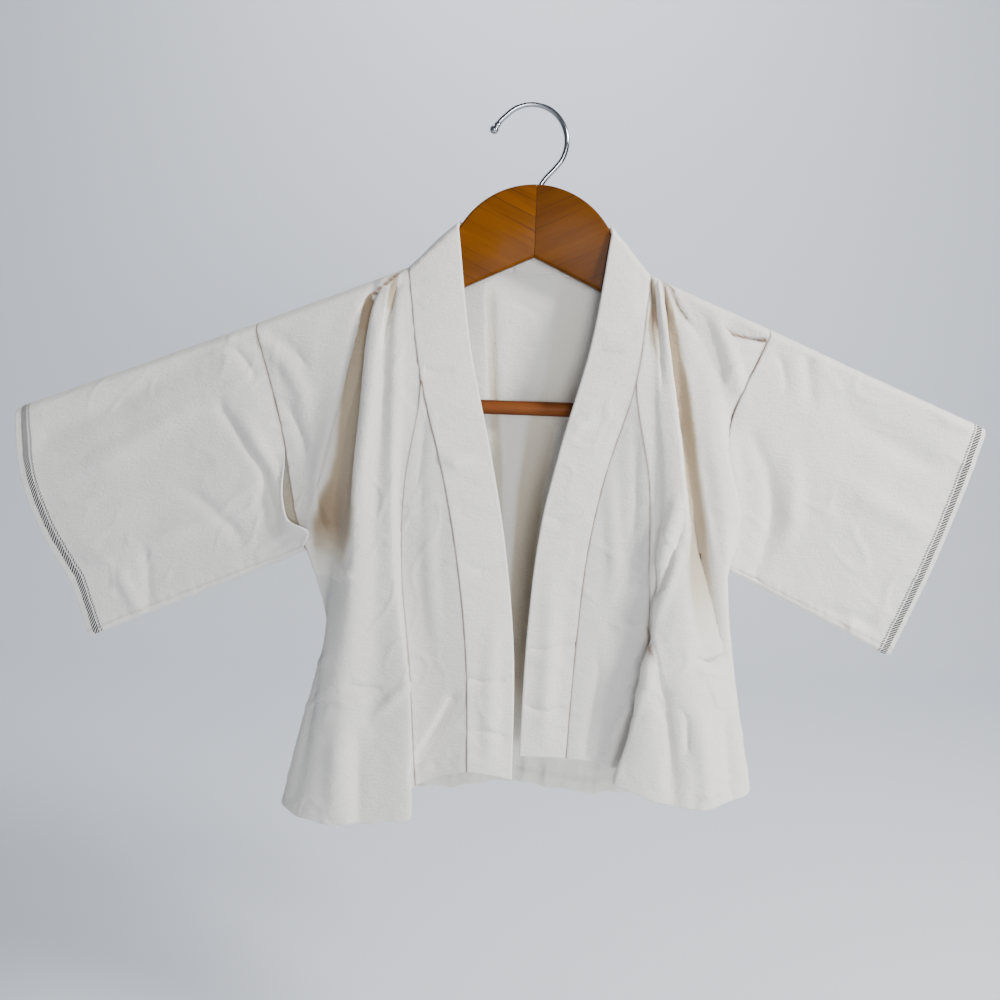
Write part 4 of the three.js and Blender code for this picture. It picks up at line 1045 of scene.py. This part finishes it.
CREAM, CREAM_BLOTCH, CREAM_NAP = (0.82, 0.795, 0.74), (0.77, 0.74, 0.685), (0.84, 0.815, 0.765)
# painted shade, painted warm light in the hollows, and painted deep shade in the deepest hollows
SHADED, WARM_HOLLOW_LIGHT, DEEP_HOLLOW_SHADE = (0.56, 0.54, 0.52), (0.60, 0.53, 0.40), (0.32, 0.235, 0.15)
THREAD_AND_SHADOW, INK = (0.235, 0.16, 0.11), (0.035, 0.032, 0.04)
WOOD_DARK, WOOD_LIGHT, WOOD_LINE, WOOD_FLECK = ((0.12, 0.034, 0.0006), (0.19, 0.058, 0.0012), (0.05, 0.014, 0.003),
                                                (0.12, 0.04, 0.01))
THREAD_PITCH = 0.9
DASH_PITCH, DASH_GAP = 2.15, 0.38  # of the slanted strokes in the cuff band
BAND_WIDTH, DOTS_FROM, DOTS_TO = 4.3, 5.0, 6.6  # across the cuff band, from its outer edge


class Nodes:
    """Short hand for building a material's nodes."""

    def __init__(self, name, **values):
        self.material = bpy.data.materials.new(name)
        self.material.use_nodes = True
        self.tree = self.material.node_tree
        self.shader = self.tree.nodes["Principled BSDF"]
        for socket, value in values.items():
            self.shader.inputs[socket.replace("_", " ")].default_value = value

    def put(self, kind, **values):
        """A node; in_NAME values go to its sockets, and are linked where they are another node's output."""
        node = self.tree.nodes.new(kind)
        for key, value in values.items():
            if key.startswith("in_"):
                self.feed(node.inputs[key[3:].replace("_", " ")], value)
            else:
                setattr(node, key, value)
        return node

    def feed(self, socket, value):
        if isinstance(value, bpy.types.NodeSocket):
            self.tree.links.new(value, socket)
        elif isinstance(value, tuple) and socket.type == "RGBA":
            socket.default_value = (*value, 1)
        else:
            socket.default_value = value

    def paint(self, colour):
        self.feed(self.shader.inputs["Base Color"], colour)

    def bump(self, height, strength, distance):
        node = self.put("ShaderNodeBump", in_Strength=strength, in_Distance=distance, in_Height=height)
        self.feed(self.shader.inputs["Normal"], node.outputs[0])

    def attribute(self, name, output):
        return self.put("ShaderNodeAttribute", attribute_name=name).outputs[output]

    def math(self, operation, a, b=None, clamp=False):
        node = self.put("ShaderNodeMath", operation=operation, use_clamp=clamp)
        self.feed(node.inputs[0], a)
        if b is not None:
            self.feed(node.inputs[1], b)
        return node.outputs[0]

    def plus(self, a, b):
        return self.math("ADD", a, b)

    def times(self, a, b, clamp=False):
        return self.math("MULTIPLY", a, b, clamp)

    def over(self, a, least):
        """How far a lies over the least value."""
        return self.math("SUBTRACT", a, least, True)

    def between(self, a, low, high):
        return self.times(self.math("GREATER_THAN", a, low), self.math("LESS_THAN", a, high))

    def noise(self, vector, scale, detail=2.0, rough=0.5):
        return self.put("ShaderNodeTexNoise", in_Vector=vector, in_Scale=scale, in_Detail=detail,
                        in_Roughness=rough).outputs["Fac"]

    def mapped(self, vector, scale, turn=0.0):
        return self.put("ShaderNodeMapping", in_Vector=vector, in_Scale=scale, in_Rotation=(0, turn, 0)).outputs[0]

    def place(self):
        return self.put("ShaderNodeTexCoord").outputs["Object"]

    def ramp(self, value, *stops):
        node = self.put("ShaderNodeValToRGB", in_Fac=value)
        for element, (place, colour) in zip(node.color_ramp.elements, stops):
            element.position, element.color = place, (*colour, 1)
        return node.outputs["Color"]

    def mix(self, share, a, b):
        node = self.put("ShaderNodeMix", data_type="RGBA")
        for socket, value in zip((node.inputs[0], node.inputs[6], node.inputs[7]), (share, a, b)):
            self.feed(socket, value)
        return node.outputs[2]


def cuff_band(n, colour, u, v, mm, slant, edge):
    """Woven dark strokes and a row of dots, edge millimetres in from the selvedge, worn a little by the nap."""
    stroke = n.math("FRACT", n.math("DIVIDE", n.plus(u, n.times(v, slant)), DASH_PITCH))
    dash = n.math("GREATER_THAN", stroke, DASH_GAP)
    far = n.plus(v, n.times(n.math("SUBTRACT", n.noise(mm, 0.18, 1), 0.5), 0.9))
    band, dots = n.between(far, edge, edge + BAND_WIDTH), n.between(far, edge + DOTS_FROM, edge + DOTS_TO)
    ink = n.times(n.plus(band, n.times(dots, 0.85)), dash)
    pale = n.times(n.plus(band, n.times(dots, 0.4)), 0.2)
    worn = n.plus(n.times(n.noise(mm, 1.6, 2), 0.5), 0.7)
    return n.mix(n.times(n.plus(n.times(ink, 0.95), pale), worn, True), colour, INK)


def cotton(name, slant=0, edge=0):
    """Brushed cotton: a fine weave under a soft nap, with painted warm light and painted shade in the hollows of the
    folds, painted shade where marked, and dark thread with painted shadow along seams and fold lines.
    """
    n = Nodes(name, Roughness=0.93, Specular_IOR_Level=0.25, Sheen_Weight=0.35, Sheen_Roughness=0.45,
              Sheen_Tint=(0.95, 0.93, 0.9, 1))
    u, v, fold = n.put("ShaderNodeSeparateXYZ", in_Vector=n.attribute("cloth", "Vector")).outputs
    mm = n.put("ShaderNodeVectorMath", operation="SCALE", in_Vector=n.place(), in_Scale=1000.0).outputs[0]
    nap = n.noise(mm, 0.55, 4, 0.6)
    colour = n.mix(n.times(n.noise(mm, 0.028, 3, 0.55), 0.35), CREAM, CREAM_BLOTCH)
    colour = n.mix(n.times(n.over(nap, 0.35), 0.55), colour, CREAM_NAP)
    # below zero the fold share paints shade, above zero warm light, and past 0.6 deep shade
    colour = n.mix(n.times(fold, -0.62, True), colour, SHADED)
    colour = n.mix(n.times(fold, 0.9, True), colour, WARM_HOLLOW_LIGHT)
    colour = n.mix(n.times(n.over(fold, 0.6), 1.2, True), colour, DEEP_HOLLOW_SHADE)
    thread = n.plus(n.times(n.noise(mm, 0.09, 2), 0.8), 0.2)
    # the seam share paints dark thread with the shadow in the seam's gap, and painted shadow along the fold lines
    colour = n.mix(n.times(n.attribute("seam", "Fac"), thread, True), colour, THREAD_AND_SHADOW)
    n.paint(cuff_band(n, colour, u, v, mm, slant, edge) if slant else colour)
    slub = n.noise(n.mapped(mm, (0.16, 1, 1)), 0.75, 2)
    weave = n.times(*(n.math("SINE", n.times(run, 2 * math.pi / THREAD_PITCH)) for run in (u, v)))
    n.bump(n.plus(n.plus(nap, n.times(slub, 0.65)), n.times(weave, 0.10)), 0.8, 0.0007)
    return n.material


def wood(name, lean, tone, blue=0.0):
    """Varnished wood with fine dark lines along the board; blue is added to its two main tones."""
    n = Nodes(name, Roughness=0.42, Specular_IOR_Level=0.05, Coat_Weight=0.03, Coat_Roughness=0.16)
    along = n.mapped(n.place(), (1000, 1000, 1000), lean)
    streak = n.noise(n.mapped(along, (0.010, 0.06, 0.09)), 1.0, 4, 0.6)
    line = n.noise(n.mapped(along, (0.006, 0.5, 0.75)), 1.0, 1, 0.4)
    fleck = n.noise(n.mapped(along, (0.25, 1.2, 2.2)), 1.0, 2, 0.5)
    dark, light = ((r * tone, g * tone, b + blue) for r, g, b in (WOOD_DARK, WOOD_LIGHT))
    colour = n.ramp(streak, (0.3, dark), (0.7, light))
    colour = n.mix(n.times(n.times(n.over(line, 0.575), 8.0, True), 0.6), colour,
                   (WOOD_LINE[0] * tone, WOOD_LINE[1] * tone, WOOD_LINE[2]))
    colour = n.mix(n.times(n.times(n.over(fleck, 0.66), 6.0, True), 0.35), colour, WOOD_FLECK)
    n.paint(colour)
    n.bump(streak, 0.12, 0.0004)
    return n.material


def chrome(name):
    n = Nodes(name, Metallic=1, Roughness=0.14)
    n.paint(n.ramp(n.noise(n.place(), 90, 2), (0.3, (0.30, 0.31, 0.33)), (0.7, (0.42, 0.43, 0.45))))
    return n.material


# ---- the whole object ----

def mount(obj, material, slot, *nodes):
    obj.data.materials.clear()
    obj.data.materials.append(material)
    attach(obj, "root")
    if nodes:
        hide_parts(*nodes)
    return obj


def mount_panel(pieces, node, **sheet):
    panel, stitches = pieces
    mount(panel, plain, "cotton", node)
    mount(stitches, plain, "cotton")


plain = cotton("brushed_cotton")
banded = {"left": cotton("brushed_cotton_band_left", 1, 4.3), "right": cotton("brushed_cotton_band_right", -1, 3.1)}
BOARDS = ["hanger_arm_left", "hanger_arm_right"]

mount_panel(back_panel("back"), "body_back", flat=(0.36, 0.39), rests_on=BOARDS)
# dim is the least painted shade on the side's front, and tone scales its board's colours, darker on the right as
# painted shade of the collar
for side, seed, dim, tone in ((LEFT, 100, 0.65, 0.88), (RIGHT, 200, 0.05, 0.62)):
    word = side.name
    board = f"hanger_arm_{word}"
    mount_panel(front_panel(f"front_{word}", side, "side edge", "okumi seam", seed, dim), f"body_front_{word}",
                flat=(0.16, 0.385), area=0.0462, rests_on=[board])
    mount_panel(front_panel(f"overlap_{word}", side, "okumi seam", "collar seam", seed + 5, 1.0), f"okumi_{word}",
                flat=(0.06, 0.31), area=0.010, rests_on=[f"front_{word}"])
    band = mount(collar(f"band_{word}", side, seed + 11), plain, "cotton", f"collar_{word}")
    arm_tube = mount(sleeve(f"sleeve_tube_{word}", side, seed + 23), banded[word], "cotton", f"sleeve_{word}")
    varnish = wood(f"varnished_wood_{word}", side.sign * math.atan(BOARD_SLOPE), tone)
    mount(hanger_arm(f"board_{word}", side), varnish, "varnished_wood", board)
mount(bar(), wood("varnished_dowel", 0.0, 0.95, 0.012), "varnished_wood", "hanger_bar")
mount(hook(), chrome("chrome_wire"), "chrome_wire", "hanger_hook")


# ---- stage, light and camera, in metres ----

FLOOR_HEIGHT, FLOOR_NEAR, FLOOR_FAR, WALL_TOP, FLOOR_HALF, COVE = -0.80, -4.0, 1.2, 3.2, 6, 0.6
turns = np.linspace(0.1, math.pi / 2, 14)
profile = [(FLOOR_NEAR, FLOOR_HEIGHT), (FLOOR_FAR, FLOOR_HEIGHT),
           *((FLOOR_FAR + COVE * math.sin(a), FLOOR_HEIGHT + COVE * (1 - math.cos(a))) for a in turns),
           (FLOOR_FAR + COVE, WALL_TOP)]
floor = new_mesh("floor", [(x, y, z) for y, z in profile for x in (-FLOOR_HALF, FLOOR_HALF)],
                 [[i, i + 1, i + 3, i + 2] for i in range(0, 2 * len(profile) - 2, 2)], scale=1)
floor.data.materials.append(Nodes("pale_floor", Base_Color=(0.80, 0.83, 0.88, 1), Roughness=0.9).material)

world = bpy.data.worlds.new("pale_room")
world.use_nodes = True
background = world.node_tree.nodes["Background"]
background.inputs["Color"].default_value = (0.80, 0.86, 1.0, 1)
background.inputs["Strength"].default_value = 0.18
bpy.context.scene.world = world


def lamp(name, place, target, size, power, colour):
    light = bpy.data.lights.new(name, "AREA")
    light.shape, light.size, light.energy, light.color = "DISK", size, power, colour
    way = unit(np.subtract(target, place))
    side = unit(np.cross(way, [0, 0, 1]))
    obj = add(name, light)
    columns = np.stack([side, np.cross(side, way), -way, place], axis=1)
    obj.matrix_world = Matrix([*columns.tolist(), [0, 0, 0, 1]])


lamp("window", (1.2, -0.66, 0.46), (0.05, 0, -0.25), size=0.36, power=38, colour=(1.0, 0.995, 0.98))
lamp("room", (0.4, -2.1, -0.1), (0, 0, -0.3), size=0.8, power=30, colour=(0.95, 0.97, 1.0))
lamp("backdrop_light", (0, 0.75, 1.4), (0, 1.9, -0.3), size=1.0, power=22, colour=(0.95, 0.97, 1.0))

camera = bpy.data.cameras.new("camera")
camera.lens, camera.sensor_width, camera.clip_start = 36, 36, 0.01
view = add("camera", camera)
place, tilt, roll = (-0.012735, -0.696, -0.155068), math.radians(81.06), math.radians(2.01)
view.matrix_world = Matrix.Translation(place) @ Matrix.Rotation(tilt, 4, "X") @ Matrix.Rotation(roll, 4, "Z")
bpy.context.scene.camera = view
